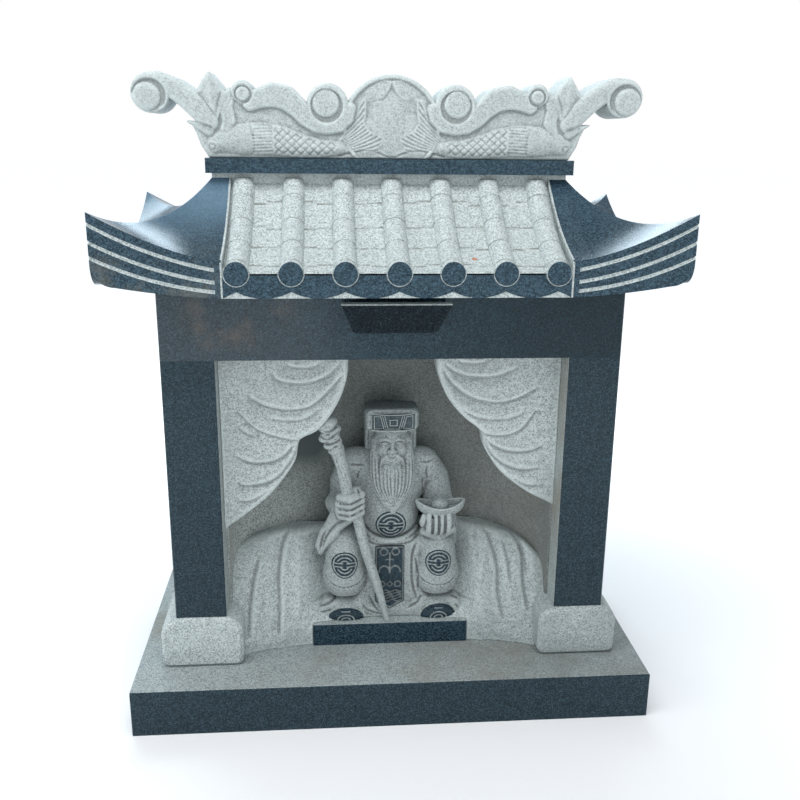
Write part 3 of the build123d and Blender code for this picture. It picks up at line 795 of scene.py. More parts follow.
def hollowness(vertices, normals, quads, rounds):
    """How far each vertex lies under the smoothed surface, in millimetres; below zero on ridges."""
    a = quads[:, [0, 1, 2, 3]].ravel()
    b = quads[:, [1, 2, 3, 0]].ravel()
    start, end = np.concatenate([a, b]), np.concatenate([b, a])
    share = np.bincount(start, minlength=len(vertices)).astype(float)[:, None]
    smooth = vertices.copy()
    for _ in range(rounds):
        around = [np.bincount(start, smooth[end, i], len(vertices)) for i in range(3)]
        smooth = 0.4 * smooth + 0.6 * np.stack(around, 1) / share
    return ((smooth - vertices) * normals).sum(1) * 1000


# %% [markdown]
# A grid spends as many faces on a flat wall as on a face or a fish. Decimate joins them first where the
# surface is even, so half the triangles can go before the carving shows it, and the piece stays light to
# render.


# %% Make a piece
def finished_mesh(piece):
    """The plain mesh that an object's modifiers make."""
    evaluated = piece.evaluated_get(bpy.context.evaluated_depsgraph_get())
    return bpy.data.meshes.new_from_object(evaluated)


def thin(piece):
    """Half the triangles, taken mostly where the surface is even."""
    piece.modifiers.new("thin", "DECIMATE").ratio = 0.5
    dense, mesh = piece.data, finished_mesh(piece)
    piece.modifiers.clear()
    piece.data = mesh
    mesh.name = piece.name
    bpy.data.meshes.remove(dense)
    print(piece.name, "triangles:", len(mesh.polygons), "at", round(time.time() - started, 1), "s")


def teach(mesh, name, values):
    """Gives every vertex a number that materials can read."""
    numbers = np.asarray(values, np.float32).ravel()
    mesh.attributes.new(name, "FLOAT", "POINT").data.foreach_set("value", numbers)


def carved_piece(name, surface, finish, replaced=(), shine=None):
    """A piece from vertices and quads, riding with the shrine. shine is the polish at each vertex, 0 to 1.

    Every vertex also learns how deep it lies in a hollow, where materials paint dirt and shade; on ridges the
    number is below zero, and they paint wear and a highlight there."""
    vertices, quads = surface
    mesh = bpy.data.meshes.new(name)
    mesh.vertices.add(len(vertices))
    mesh.vertices.foreach_set("co", vertices.astype(np.float32).ravel())
    mesh.loops.add(quads.size)
    mesh.loops.foreach_set("vertex_index", quads.astype(np.int32).ravel())
    mesh.polygons.add(len(quads))
    mesh.polygons.foreach_set("loop_start", np.arange(0, quads.size, quads.shape[1], dtype=np.int32))
    mesh.polygons.foreach_set("use_smooth", np.ones(len(quads), bool))
    mesh.update(calc_edges=True)
    if shine is not None:
        teach(mesh, "polish", shine)
    normals = np.empty(len(vertices) * 3, np.float32)
    mesh.vertex_normals.foreach_get("vector", normals)
    normals = normals.reshape(-1, 3)
    in_creases = hollowness(vertices, normals, quads, 8) / 0.35
    in_folds = hollowness(vertices, normals, quads, 36) / 1.4
    teach(mesh, "hollow", np.clip(in_creases + in_folds, -2, 2))
    mesh.materials.append(finish)
    piece = placed(name, mesh)
    thin(piece)
    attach(piece, "root")
    if replaced:
        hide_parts(*replaced)


def corners(*nodes):
    """Lowest and highest corner of one or more nodes, in millimetres."""
    boxes = [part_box(node) for node in nodes]
    low = np.min([np.array(b[0]) for b in boxes], 0) * 1000
    high = np.max([np.array(b[1]) for b in boxes], 0) * 1000
    return low, high


# %% [markdown]
# ## Reliefs
#
# The crest, the curtains and the cloth beside the seat are reliefs: a flat outline, a front that rises and
# falls, and a plain back. Their distances come from three maps seen from the front, which is quicker than
# adding hundreds of forms.


# %% Outlines seen from the front
def disc(x, z, centre, radius):
    """Distance to a round outline."""
    return np.hypot(x - centre[0], z - centre[1]) - radius


def from_straight(x, z, a, b):
    """How far along the straight from a to b its nearest point lies, 0 to 1, and the way from there."""
    run = b - a
    t = np.clip(((x - a[0]) * run[0] + (z - a[1]) * run[1]) / (run @ run), 0.0, 1.0)
    return t, x - a[0] - t * run[0], z - a[1] - t * run[1]


def strip(x, z, points, radii):
    """Distance to a bar of varying width through points."""
    p = np.array(points, float)
    r = np.broadcast_to(np.array(radii, float), (len(p),))
    best = np.inf
    for a, b, ra, rb in zip(p[:-1], p[1:], r[:-1], r[1:]):
        t, off_x, off_z = from_straight(x, z, a, b)
        best = np.minimum(best, np.hypot(off_x, off_z) - (ra + (rb - ra) * t))
    return best


def shape(x, z, points):
    """Distance to a closed outline with straight sides, below zero inside."""
    p = np.array(points, float)
    edge, winding = np.inf, np.zeros(np.broadcast(x, z).shape, bool)
    for a, b in zip(p, np.roll(p, -1, 0)):
        _, off_x, off_z = from_straight(x, z, a, b)
        edge = np.minimum(edge, np.hypot(off_x, off_z))
        run = b - a
        if run[1] != 0:
            winding ^= ((a[1] > z) != (b[1] > z)) & (x < run[0] * (z - a[1]) / run[1] + a[0])
    return np.where(winding, -edge, edge)


def rise(distance, width=2.0):
    """1 well inside an outline and 0 outside it, with a soft edge of the given width."""
    t = np.clip(0.5 - distance / width, 0.0, 1.0)
    return t * t * (3.0 - 2.0 * t)


def line(distance, width):
    """1 on a line and 0 away from it."""
    return np.exp(-((distance / (0.5 * width)) ** 2))


# %% A relief from three maps
def hand_worked(x, z, height=0.35):
    """Slow unevenness of a surface dressed by hand, in millimetres."""
    waves = np.sin(x / 7.3 + 1.7 * np.sin(z / 11.0)) * np.sin(z / 6.1 + 1.3 * np.sin(x / 13.0))
    return height * (waves + 0.5 * np.sin(x / 3.7 + z / 4.9) * np.sin(z / 3.1 - x / 5.3))


def relief(low, high, step, outline, front, back, edge=2.0):
    """A block between y = front and y = back, inside an outline; each map is given over x and z."""
    block = Block(low, high, step)
    inside, face, rear = (np.asarray(m(*block.seen()), np.float32) for m in (outline, front, back))
    slope_x, slope_z = np.gradient(face, block.step[0], block.step[2])
    steep = np.sqrt(1.0 + slope_x**2 + slope_z**2)
    y = block.axes[1][None, :, None]
    behind = y - (rear[:, None, :] if rear.ndim else rear)
    between = np.maximum((face[:, None, :] - y) / steep[:, None, :], behind)
    block.d = soft_max(between, inside[:, None, :], edge).astype(np.float32)
    return block


def dome(distance, width):
    """0 at an outline's edge, rising in a quarter round to 1 at the given width inside it."""
    t = np.clip(-distance / width, 0.0, 1.0)
    return np.sqrt(t * (2.0 - t))


def fold(x, z, points, depth, under, over, fade=30.0):
    """Depth of a fold along points: a sharp line with a long slope under it and a short one over it.

    Going along the points, under lies to the right. Depth and sharpness fade at both ends."""
    path = smooth_path(points, 4.0)
    best = np.full(np.broadcast(x, z).shape, np.inf)
    offset, place = best.copy(), best.copy()
    length = 0.0
    for a, b in zip(path[:-1], path[1:]):
        run = b - a
        size = np.hypot(*run)
        t, off_x, off_z = from_straight(x, z, a, b)
        far = np.hypot(off_x, off_z)
        nearer = far < best
        best[nearer] = far[nearer]
        offset[nearer] = ((run[0] * off_z - run[1] * off_x) / size)[nearer]
        place[nearer] = (length + t * size)[nearer]
        length += size
    ends = (2 * rise(-place, fade * 2) - 1) * (2 * rise(place - length, fade * 2) - 1)
    ends = np.clip(ends, 0, 1) * np.exp(-((np.maximum(best - np.abs(offset), 0) / 6) ** 2))
    slope = np.exp(-((best / np.where(offset < 0, under, over)) ** 2))
    sharp = np.exp(-((best / 2.0) ** 2)) * 0.24
    near = np.exp(-((best / (over * 3.5)) ** 2))
    swell = np.exp(-(((offset - over * 1.6) / (over * 1.4)) ** 2)) * near * 0.22
    return depth * ends * (slope + sharp - swell)


# %% [markdown]
# ## Ridge crest
#
# The crest is one thick slab of stone pierced to an outline: a centre arch, a wave that ends in scrolls, a
# bud, and a horn that curls out at each end. Two fish lie along its foot, nose outwards, with their tails
# fanned under the arch. It could be built from dozens of swept curves, but they would meet in hard seams.
# As a height map, each motif is laid over the one behind it, as a carver works down from the face.

# %% Crest motifs, in millimetres from the middle and above the crest's foot
ARCH_MIDDLE = (0, 46)
ARCH_RADIUS = 72
SCROLL = ((93, 75), 30)
SMALL_SCROLL = ((214, 92), 15.5)
HORN_SCROLL = ((343, 89), 28)
STEM = [(231, 90), (238, 70), (234, 52)]
STEM_RADII = [7, 9, 9]
LEAF = [(293, 50), (276, 44), (263, 38)]
PANEL = [(-9, 0), (265, 0), (276, 18), (281, 33), (288, 47), (270, 60), (232, 74), (120, 76), (-9, 76)]
WAVE = [(203, 76), (190, 83), (171, 88), (152, 84), (137, 72), (125, 58), (110, 48), (93, 45), (77, 48)]
WAVE += [(66, 57), (61, 70)]
WAVE_RADII = [11, 14, 17, 17, 15, 13, 12, 11.5, 11.5, 11, 9]
FISH = [(254, 20), (236, 25), (215, 26), (190, 27), (160, 24), (130, 17), (103, 14), (76, 15)]
FISH_RADII = [13, 18, 22, 23, 21, 17, 13, 10]
TAIL = [(78, 26), (66, 38), (54, 56), (45, 82), (37, 84), (37, 66), (40, 50), (31, 38), (17, 33), (9, 25)]
TAIL += [(20, 15), (3, 3), (22, 9), (42, 12), (76, 8)]
BUD = [(234, 84), (243, 98), (252, 109), (261, 119), (269, 108), (277, 95), (285, 84), (272, 62), (255, 42)]
BUD += [(246, 62)]
HORN = [(262, 50), (276, 66), (292, 82), (312, 96), (332, 104)]
HORN_RADII = [13, 15, 15.5, 15, 14]
PETAL = [(0, 108), (-1.5, 101), (-6, 93), (-13, 85), (-20, 82.5), (-28, 83), (-40, 92), (-24, 106)]
PETAL += [(-10, 111)]
CREST_BACKGROUND = 38.2
CREST_FACE = 44.5


def crest_outline(x, z):
    """Everything that the crest's stone covers, alike on both sides of the middle."""
    u, h = np.abs(x), z - crest_foot
    parts = [
        shape(u, h, PANEL),
        np.maximum(disc(u, h, ARCH_MIDDLE, ARCH_RADIUS), -h),
        strip(u, h, WAVE, WAVE_RADII),
        disc(u, h, *SCROLL),
        disc(u, h, *SMALL_SCROLL),
        strip(u, h, STEM, STEM_RADII),
        strip(u, h, [(216, 82), (226, 78), (240, 74)], [9, 11, 11]),
        shape(u, h, BUD),
        strip(u, h, HORN, HORN_RADII),
        disc(u, h, *HORN_SCROLL),
        strip(u, h, LEAF, [1.5, 5, 8]),
    ]
    return np.minimum.reduce(parts)


def crest_half_depth(x, z):
    """How far the crest's face stands from its middle plane."""
    u, h = np.broadcast_arrays(np.abs(x), z - crest_foot)
    face = np.full(u.shape, CREST_BACKGROUND)

    def lay(distance, top, edge=1.6):
        nonlocal face
        face = face + (top - face) * rise(distance, edge)

    def groove(distance, depth, width):
        nonlocal face
        face = face - depth * line(distance, width)

    # the arch: a rim, two petals, and a soft boss between them
    lay(disc(u, h, ARCH_MIDDLE, ARCH_RADIUS) + 1.0, 41.5)
    lay(disc(u, h, ARCH_MIDDLE, ARCH_RADIUS - 6.5), 38.8)
    lay(shape(-u, h, PETAL), 41.0 - 0.05 * u, 2.4)
    face += 2.5 * np.exp(-((u / 16) ** 2) - ((h - 62) / 26) ** 2)
    face -= 2.0 * np.exp(-(((u - 30) / 12) ** 2) - ((h - 66) / 16) ** 2)

    # fish: tail, body, scales, gill and eye
    tail = shape(u, h, TAIL)
    lay(tail, 39.6, 3.0)
    turn = np.degrees(np.arctan2(h - 6, 100 - u)) - 0.0016 * (u - 76) ** 2
    rays = np.abs((turn / 4.4) % 1.0 - 0.5)
    face -= 1.4 * rise(tail + 2.0, 2.0) * rise(0.30 - rays, 0.22)
    fish = strip(u, h, FISH, FISH_RADII)
    body = np.maximum(fish, -h)
    lay(body, CREST_BACKGROUND + 0.2 + 4.6 * dome(fish, 22.0) ** 1.5, 2.0)
    scaled = rise(body + 3, 3) * rise(82 - u, 4) * rise(u - 170, 4)
    p, q = u / 12.6 + h / 11.4, u / 12.6 - h / 11.4
    edge_p, edge_q = 0.5 - np.abs(p % 1.0 - 0.5), 0.5 - np.abs(q % 1.0 - 0.5)
    face -= scaled * 1.6 * rise(np.minimum(edge_p, edge_q) - 0.10, 0.16)
    gill = rise(body + 2, 2) * rise(173 - u, 3) * rise(u - 199 - 4 * np.sin(h / 14), 3)
    face -= gill * 1.1 * rise(0.27 - np.abs(((h + 0.05 * (u - 186)) / 4.6) % 1.0 - 0.5), 0.2)
    groove(strip(u, h, [(203, 3), (199, 14), (200, 28), (204, 44)], 0.1), 0.9 * rise(body, 2), 3.0)
    groove(disc(u, h, (259, 15), 4.2), 1.5, 2.4)
    groove(strip(u, h, [(0, 2), (7, 3), (15, 7), (28, 11), (42, 12), (60, 8), (78, 3)], 0.1), 1.3, 2.6)

    # bud and the leaf under it
    lay(strip(u, h, [*STEM, (240, 40)], [*STEM_RADII, 6]), 40.8, 3.5)
    bud = shape(u, h, BUD)
    lay(bud, 40.0 + 3.0 * np.exp(-(((u - 259 - 0.1 * (h - 80)) / 8) ** 2)), 2.0)
    groove(strip(u, h, [(242, 96), (250, 74), (254, 44)], 0.1), 1.0, 3.0)

    # horn, with its curl
    horn = np.minimum(strip(u, h, HORN, HORN_RADII), disc(u, h, *HORN_SCROLL))
    lay(horn, 40.2 + 3.6 * dome(horn, 10.0), 1.6)
    lay(disc(u, h, (345, 84), 24.0), 39.4, 2.4)
    curl = disc(u, h, (348.5, 83.5), 20.0)
    lay(curl, 39.8 + 4.6 * dome(curl, 12.0), 1.8)
    lay(strip(u, h, LEAF, [1.5, 5, 7]), 41.0, 4.0)

    # the wave and its two scrolls
    wave = np.minimum(strip(u, h, WAVE, WAVE_RADII), disc(u, h, *SCROLL))
    lay(wave, CREST_FACE - 3.0 + 2.6 * dome(wave, 6.0), 1.4)
    lay(disc(u, h, (94, 73), 23.0), 40.0, 2.2)
    eye = disc(u, h, (95.5, 77), 19.5)
    lay(eye, CREST_FACE - 3.4 + 3.4 * dome(eye, 7.0), 1.6)
    small = disc(u, h, *SMALL_SCROLL)
    lay(small, CREST_FACE - 3.4 + 2.6 * dome(small, 5.0), 1.4)
    lay(disc(u, h, (213, 87.5), 12.5), 40.0, 2.2)
    small_eye = disc(u, h, (213.5, 88.5), 10)
    lay(small_eye, CREST_FACE - 3.0 + 3.0 * dome(small_eye, 5.0), 1.6)
    return face + hand_worked(x, z, 0.3)


# %% Carve the crest
crest_low, crest_high = corners("ridge_crest")
crest_foot = crest_low[2]


def carve_crest():
    """The crest, with the same carving behind as in front."""
    margin = np.array([3.0, 1.5, 3.0])
    block = relief(
        crest_low - margin,
        crest_high + margin,
        (1.35, 2.6, 1.35),
        lambda x, z: np.maximum(crest_outline(x, z), crest_foot - z),
        lambda x, z: -crest_half_depth(x, z),
        crest_half_depth,
        3.0,
    )
    carved_piece("carved_crest", wrap(block), crest_granite, ["ridge_crest"])


carve_crest()

# %% [markdown]
# ## Curtains and seat cloth
#
# A stone curtain is a bag of overlapping swags, not a wave pattern. Each crease is crisp on its upper side,
# where one fold ends, and fades slowly below it, where the next begins. Real cloth simulation would give
# thin, busy folds. A few placed creases give the heavy, simple ones of carved granite.

# %% Curtain shapes
SWAG_LEFT = [(-280, 268), (-262, 286), (-253, 294), (-233, 306), (-203, 328), (-183, 348), (-162, 374)]
SWAG_LEFT += [(-148, 398), (-141, 430), (-116, 444), (-96, 466), (-78, 498), (-68, 530), (-66, 560)]
SWAG_LEFT += [(-66, 600), (-280, 600)]
SWAG_RIGHT = [(280, 305), (262, 313), (250, 320), (212, 340), (176, 369), (159, 390), (146, 413), (139, 440)]
SWAG_RIGHT += [(110, 465), (85, 497), (70, 534), (66, 560), (65, 600), (280, 600)]
CREASES_LEFT = [
    ([(-183, 542), (-178, 529), (-159, 521), (-128, 520), (-98, 531), (-77, 551)], 4.0),
    ([(-221, 507), (-213, 497), (-193, 485), (-157, 478), (-123, 484), (-95, 508), (-70, 538)], 4.0),
    ([(-188, 466), (-157, 461), (-128, 466), (-104, 484)], 2.6),
    ([(-236, 462), (-231, 450), (-219, 440), (-203, 434)], 2.4),
    ([(-168, 556), (-150, 546), (-122, 545), (-100, 556)], 2.0),
    ([(-246, 340), (-232, 332), (-212, 334), (-190, 350)], 2.4),
    ([(-242, 410), (-224, 397), (-201, 393), (-170, 401), (-147, 425)], 4.0),
    ([(-240, 366), (-228, 358), (-205, 358), (-177, 369), (-153, 398), (-143, 422)], 4.5),
]
CREASES_RIGHT = [
    ([(76, 551), (93, 537), (118, 528), (151, 527), (175, 533), (196, 544)], 4.0),
    ([(73, 544), (90, 519), (115, 498), (143, 488), (171, 486), (202, 495), (230, 512)], 4.5),
    ([(141, 432), (158, 416), (181, 406), (206, 404), (228, 409), (241, 419)], 4.0),
    ([(142, 429), (159, 398), (188, 379), (214, 374), (236, 379)], 4.5),
    ([(104, 478), (130, 463), (160, 458), (190, 462), (212, 474)], 2.4),
    ([(188, 366), (210, 350), (232, 348), (246, 352)], 2.4),
    ([(92, 556), (112, 549), (140, 550), (160, 560)], 2.0),
]
TUCK_LEFT = [(-234, 480), (-228, 474), (-216, 459), (-200, 447), (-172, 437), (-141, 431), (-120, 436)]
TUCK_RIGHT = [(120, 448), (139, 439), (158, 435), (179, 435), (201, 444), (218, 466), (222, 474)]
NICHE_HALF = 259.0


def smooth_outline(points):
    """The same closed outline, drawn through its points as a curve, with its two last corners kept sharp."""
    return list(map(tuple, smooth_path(points[:-2], 5.0))) + points[-2:]


def carve_curtain(name, outline, creases, tuck, node, forward):
    """A curtain. Creases are given with their depths, the tuck is where the lower swag goes behind the upper
    one, and forward is how far the outer edge comes towards the post."""
    outline = smooth_outline(outline)
    node_low, node_high = corners(node)
    top, back = node_high[2], node_high[1]

    def front(x, z):
        curve = smooth_path(tuck)
        below = np.interp(x, curve[:, 0], curve[:, 1]) - z
        middle = rise(np.abs(x - curve[:, 0].mean()) - 56, 60)
        y = node_low[1] + 2.0 + 4.5 * rise(-below, 3.0) * np.exp(-np.maximum(below, 0) / 40) * middle
        for points, depth in creases:
            y = y + fold(x, z, points, 1.3 * depth, 11.0, 3.2)
        swell = -2.0 * np.sin(np.clip((z - 300) / 270, 0, 1) * math.pi)
        outer = np.clip((np.abs(x) - 205) / 54, 0, 1) ** 2 * forward
        return y + swell - outer + hand_worked(x, z, 0.4)

    block = relief(
        (node_low[0] - 1, node_low[1] - 5 - forward, min(p[1] for p in outline) - 3),
        (node_high[0] + 2, back + 12, top + 3),
        (1.5, 2.4, 1.5),
        lambda x, z: shape(x, z, outline),
        front,
        lambda x, z: back + 8,
        9.0,
    )
    x, _, z = block.points()
    block.trim(np.maximum(z - top, np.abs(x) - NICHE_HALF))
    carved_piece(name, wrap(block), cloth_granite, [node])


carve_curtain("left_curtain_folds", SWAG_LEFT, CREASES_LEFT, TUCK_LEFT, "left_curtain", 13.0)
carve_curtain("right_curtain_folds", SWAG_RIGHT, CREASES_RIGHT, TUCK_RIGHT, "right_curtain", 2.0)

# %% Seat cloth shapes
FIGURE_GAP = 88.0
PLINTH_GAP = 126.0
CLOTH_LEFT = [(-290, 196), (-257, 226), (-243, 235), (-225, 242), (-205, 247), (-171, 251), (-140, 251)]
CLOTH_LEFT += [(-113, 250), (-84, 250), (-84, 60), (-290, 60)]
CLOTH_RIGHT = [(84, 254), (116, 254), (145, 252), (170, 249), (195, 243), (213, 236), (232, 225), (248, 211)]
CLOTH_RIGHT += [(260, 193), (268, 158), (270, 120), (275, 60), (84, 60)]
FALLS_LEFT = [
    ([(-163, 258), (-176, 232), (-182, 190), (-181, 140), (-183, 95)], 6.0, 15.0, 3.5),
    ([(-212, 222), (-223, 180), (-229, 135), (-230, 100)], 4.0, 12.0, 4.0),
    ([(-140, 235), (-143, 190), (-141, 150), (-146, 110)], 1.6, 8.0, 8.0),
    ([(-206, 170), (-206, 140), (-209, 110)], 1.2, 7.0, 7.0),
]
FALLS_RIGHT = [
    ([(158, 256), (170, 232), (180, 195), (180, 154), (188, 112)], 5.0, 4.5, 10.0),
    ([(191, 256), (210, 241), (222, 211), (223, 165), (229, 125)], 5.0, 4.0, 10.0),
    ([(208, 250), (219, 234), (226, 205), (229, 180)], 2.4, 3.0, 7.0),
    ([(190, 235), (197, 205), (202, 165)], 3.0, 4.0, 7.0),
    ([(140, 255), (146, 225), (146, 190)], 2.0, 5.0, 8.0),
]


def carve_seat_cloth(name, outline, falls, node):
    """The cloth on one side of the seat. Each fall has a depth and how far it slopes before and after."""
    outline = smooth_outline(outline)
    node_low, node_high = corners(node)
    toe, foot, back = node_low[1], node_low[2], node_high[1]
    ledge = corners("figure_plinth")[1][2]
    fall_z = [foot, foot + 30, foot + 63, foot + 132, foot + 172, foot + 195]
    fall_y = [toe - 4, toe + 17, toe + 32, toe + 66, toe + 92, toe + 110]

    def front(x, z):
        u = np.clip((np.abs(x) - PLINTH_GAP) / (NICHE_HALF - PLINTH_GAP), 0, 1)
        sweep = -87.0 - 2.0 * u - 33.0 * u**2
        y = soft_max(sweep, np.interp(z, fall_z, fall_y), 22.0)
        # beside the figure the cloth lies further back, behind the sleeves
        t = np.clip((np.abs(x) - 100) / 52, 0, 1)
        beside = 1 - t**2 * (3 - 2 * t)
        y = y + 40.0 * beside * np.clip((z - ledge + 6) / 34, 0, 1) * np.clip((300 - z) / 90, 0, 1)
        for points, depth, before, after in falls:
            y = y + fold(x, z, points, depth, before, after, 26.0)
        return y + hand_worked(x, z, 0.5)

    side = -1 if node_low[0] < 0 else 1
    edges = sorted((side * (FIGURE_GAP - 1), side * (NICHE_HALF + 1)))
    block = relief(
        (edges[0], toe - 4, foot - 3),
        (edges[1], back, node_high[2] + 8),
        (1.6, 2.6, 1.6),
        lambda x, z: shape(x, z, outline),
        front,
        lambda x, z: back,
        10.0,
    )
    x, _, z = block.points()
    gap = np.where(z < ledge - 0.5, PLINTH_GAP + 0.2, FIGURE_GAP)
    block.trim(np.maximum(np.maximum(np.abs(x) - NICHE_HALF, foot - z), gap - np.abs(x)))
    carved_piece(name, wrap(block), cloth_granite, [node])


carve_seat_cloth("left_seat_cloth", CLOTH_LEFT, FALLS_LEFT, "left_seat_drapery")
carve_seat_cloth("right_seat_cloth", CLOTH_RIGHT, FALLS_RIGHT, "right_seat_drapery")

# %% [markdown]
# ## Seated figure
#
# The figure is carved from one block: robe, lap, two padded knees, sleeves, hands, head and beard. It could
# be sculpted by hand with brushes, which can't be repeated or measured. Here each form is an ellipsoid or a
# tapering limb, placed in millimetres and blended into its neighbours, and the creases are drawn on the
# finished surface afterwards, as a carver draws them with the edge of a chisel.

# %% Robe: the large forms
ROBE_NODES = ["figure_body", "left_leg", "right_leg", "left_arm", "right_arm"]
floor_z = corners(*ROBE_NODES)[0][2]
KNEES = [-73.0, 78.5]
FINGERS = [62.5, 72.5, 82.5, 92.5]


def robe_masses(block):
    """Trunk, lap and skirt."""
    block.add(limb([(0, -16, 330), (0, -12, 372)], [52, 34], 0.72), 14)
    block.add(limb([(-42, -14, 366), (44, -14, 366)], [25, 25], 0.85), 14)
    block.add(ball((2, -31, 287), (47, 37, 44)), 14)
    block.add(ball((0, -26, 335), (56, 32, 52)), 14)
    block.add(brick((-94, -48, floor_z - 4), (96, 30, 258), 18), 12)
    block.add(brick((-58, -64, floor_z - 4), (62, 10, 250), 12), 10)
    block.add(brick((-122, -69, floor_z - 4), (122, 28, 133), 9), 9)
    for x in KNEES:
        block.add(brick((x - 39, -70, floor_z - 4), (x + 39, 0, 146), 12), 8)
        block.add(ball((x, -67, floor_z), (31, 12, 27)), 1.5)


def robe_sleeves(block):
    """Upper arms in shadow at the sides, and the open sleeve that hangs from the left wrist."""
    left_arm = [(-58, -12, 366), (-72, -8, 334), (-75, -14, 298), (-82, -22, 262)]
    right_arm = [(58, -12, 364), (76, -8, 338), (84, -22, 300), (86, -44, 276)]
    sleeve_edge = [(-64, -60, 284), (-84, -62, 272), (-98, -60, 254), (-112, -54, 228)]
    block.add(limb(left_arm, [26, 24, 21, 17], 0.9), 10)
    block.add(limb([(-86, -24, 300), (-77, -50, 303)], [18, 16]), 8)
    block.add(limb(right_arm, [26, 25, 23, 18], 0.9), 10)
    block.add(limb([(92, -20, 290), (104, -18, 256), (108, -20, 226)], [17, 14, 8], 0.9), 8)
    block.add(limb([(-84, -52, 290), (-99, -50, 264), (-111, -46, 240)], [13, 11, 8], 0.9), 5)
    block.add(limb([(-108, -50, 262), (-116, -52, 238), (-112, -52, 226)], [5.5, 5.5, 4.5]), 3)
    block.add(limb(sleeve_edge, [5, 5.5, 5.5, 4]), 3)


def robe_knees(block):
    """Two padded knees, like long cushions, each with a broad flared hem below."""
    for x in KNEES:
        block.add(ball((x, -51, 208), (32.5, 31, 46)), 4)
        block.add(ball((x, -46, 236), (27, 29, 32)), 12)
        # the hem is cut off square below, with two shallow scallops
        hem = Block(block.low, block.low + block.step * (np.array(block.d.shape) - 1), block.step)
        hem.add(ball((x, -50, 186), (37, 36, 44)), 0)
        across, _, z = block.points()
        edge = 153.5 + 1.6 * np.cos((across - x) / 7.0) + 0.006 * (across - x) ** 2
        hem.trim(edge - z, 3.0)
        block.d = soft_min(block.d, hem.d, 2.0).astype(np.float32)


def robe_hands(block):
    """The left fist round the staff, and the right hand open under the ingot."""
    block.add(ball((-71, -65, 312), (19, 20, 25), 0, -14), 3)
    for i, (z, reach) in enumerate(((333, 0), (322.5, 2), (312, 2), (301.5, -1))):
        across = [(-80 - reach, -76 + i, z - 3), (-64, -90 + i, z), (-47, -80 + i, z + 3.5)]
        block.add(limb(across, [7.2, 7.4, 6.4]), 1.2)
    block.add(ball((-58, -74, 341), (11, 9, 6.5), 0, 20), 3)
    block.add(ball((79, -61, 280), (24, 22, 21)), 4)
    for x in FINGERS:
        tip = x + (x - 78) * 0.04
        finger = [(x - 1.2, -76, 266), (x - 0.6, -83, 275), (x, -84, 287), (tip, -80, 297)]
        block.add(limb(finger, [4.8, 5.5, 5.4, 4.8]), 0.9)
    block.add(ball((53, -73, 287), (6, 8, 12), 0, -10), 2)
    block.add(limb([(56, -60, 262), (79, -66, 256), (102, -58, 264)], [7, 8, 7]), 4)


# %% Robe: the creases
SKIRT_CREASES = [
    ([(-123, 133), (-112, 136), (-101, 141), (-86, 149)], 3.6, 3.2),
    ([(-120, 122), (-108, 126), (-98, 131)], 3, 2),
    ([(45, 248), (38, 228), (36, 205), (38, 170), (45, 143)], 3.2, 2.6),
    ([(41, 220), (46, 190), (47, 160)], 2.6, 2),
    ([(30, 128), (44, 137), (52, 148)], 3, 2.4),
    ([(-46, 140), (-38, 128), (-26, 121), (-12, 118)], 3, 2.6),
    ([(-44, 130), (-36, 120), (-22, 116)], 2.6, 2),
    ([(-34, 150), (-26, 134), (-17, 124)], 2.6, 2.2),
    ([(102, 147), (112, 143), (121, 138)], 3, 3),
    ([(108, 134), (116, 126)], 2.4, 1.8),
]
SLEEVE_CREASES = [
    ([(-66, 371), (-54, 370), (-42, 371)], 2.6, 2.2),
    ([(50, 374), (64, 372), (76, 377)], 2.4, 1.8),
    ([(62, 366), (61, 354), (63, 344)], 2.6, 2),
    ([(56, 344), (55, 332), (57, 320)], 2.4, 1.8),
    ([(-50, 360), (-52, 346), (-48, 336)], 2.4, 1.8),
    ([(-103, 268), (-110, 252), (-113, 238)], 2.2, 1.6),
    ([(-84, 282), (-96, 268), (-104, 254), (-109, 240)], 2.2, 1.6),
    ([(112, 262), (116, 246), (117, 230)], 2.6, 2),
]
GIRDLE = [(-46, 280), (-42, 266), (-34, 255), (-22, 249), (-1, 246), (23, 249), (42, 257), (50, 268)]
HEM_BAND = [(-33, 193), (-27, 184), (-14, 178), (0, 176), (14, 178), (27, 184), (33, 193)]


def hem_texture(block, knee):
    """Short worm-like cuts in the band above a hem."""
    x, z = block.seen()
    x = x - knee
    band = rise(z - 175 - 16 * (x / 33) ** 2, 3) * rise(156 - z, 4) * rise(np.abs(x) - 34, 3)
    cuts = np.sin(1.3 * x + 1.5 * np.sin(0.34 * z + 0.2 * x)) * np.sin(1.0 * z + 1.2 * np.sin(0.5 * x))
    block.engrave(1.3 * band * np.clip(cuts * 1.4, 0, 1), -40)


def robe_creases(block):
    """Lines cut and one cord raised on the finished front."""
    block.cord(GIRDLE, 8, 3.2)
    block.crease([(-44, 274), (-36, 262), (-23, 255), (-1, 252), (24, 255), (43, 264)], 2.2, 1.8)
    block.crease([(-38, 250), (-22, 242), (0, 240), (24, 242), (46, 252)], 3.0, 2.5)
    for knee in KNEES:
        block.crease([(knee + u, z) for u, z in HEM_BAND], 2.4, 1.5)
        hem_texture(block, knee)
    for points, width, depth in SKIRT_CREASES + SLEEVE_CREASES:
        block.crease(points, width, depth)
    # between the fingers of the fist, then of the open hand, and across their knuckles
    for z in (327.5, 317, 306.5):
        block.crease([(-82, z - 5), (-66, z - 2), (-46, z + 3.5)], 1.8, 2.2, 0.8)
    for x in (67.3, 77.4, 87.5):
        block.crease([(x, 263), (x, 278), (x, 296)], 1.8, 2.4, 0.8)
    for x in FINGERS:
        block.crease([(x - 4, 284), (x, 283), (x + 4, 284)], 1.2, 0.8, 0.6)


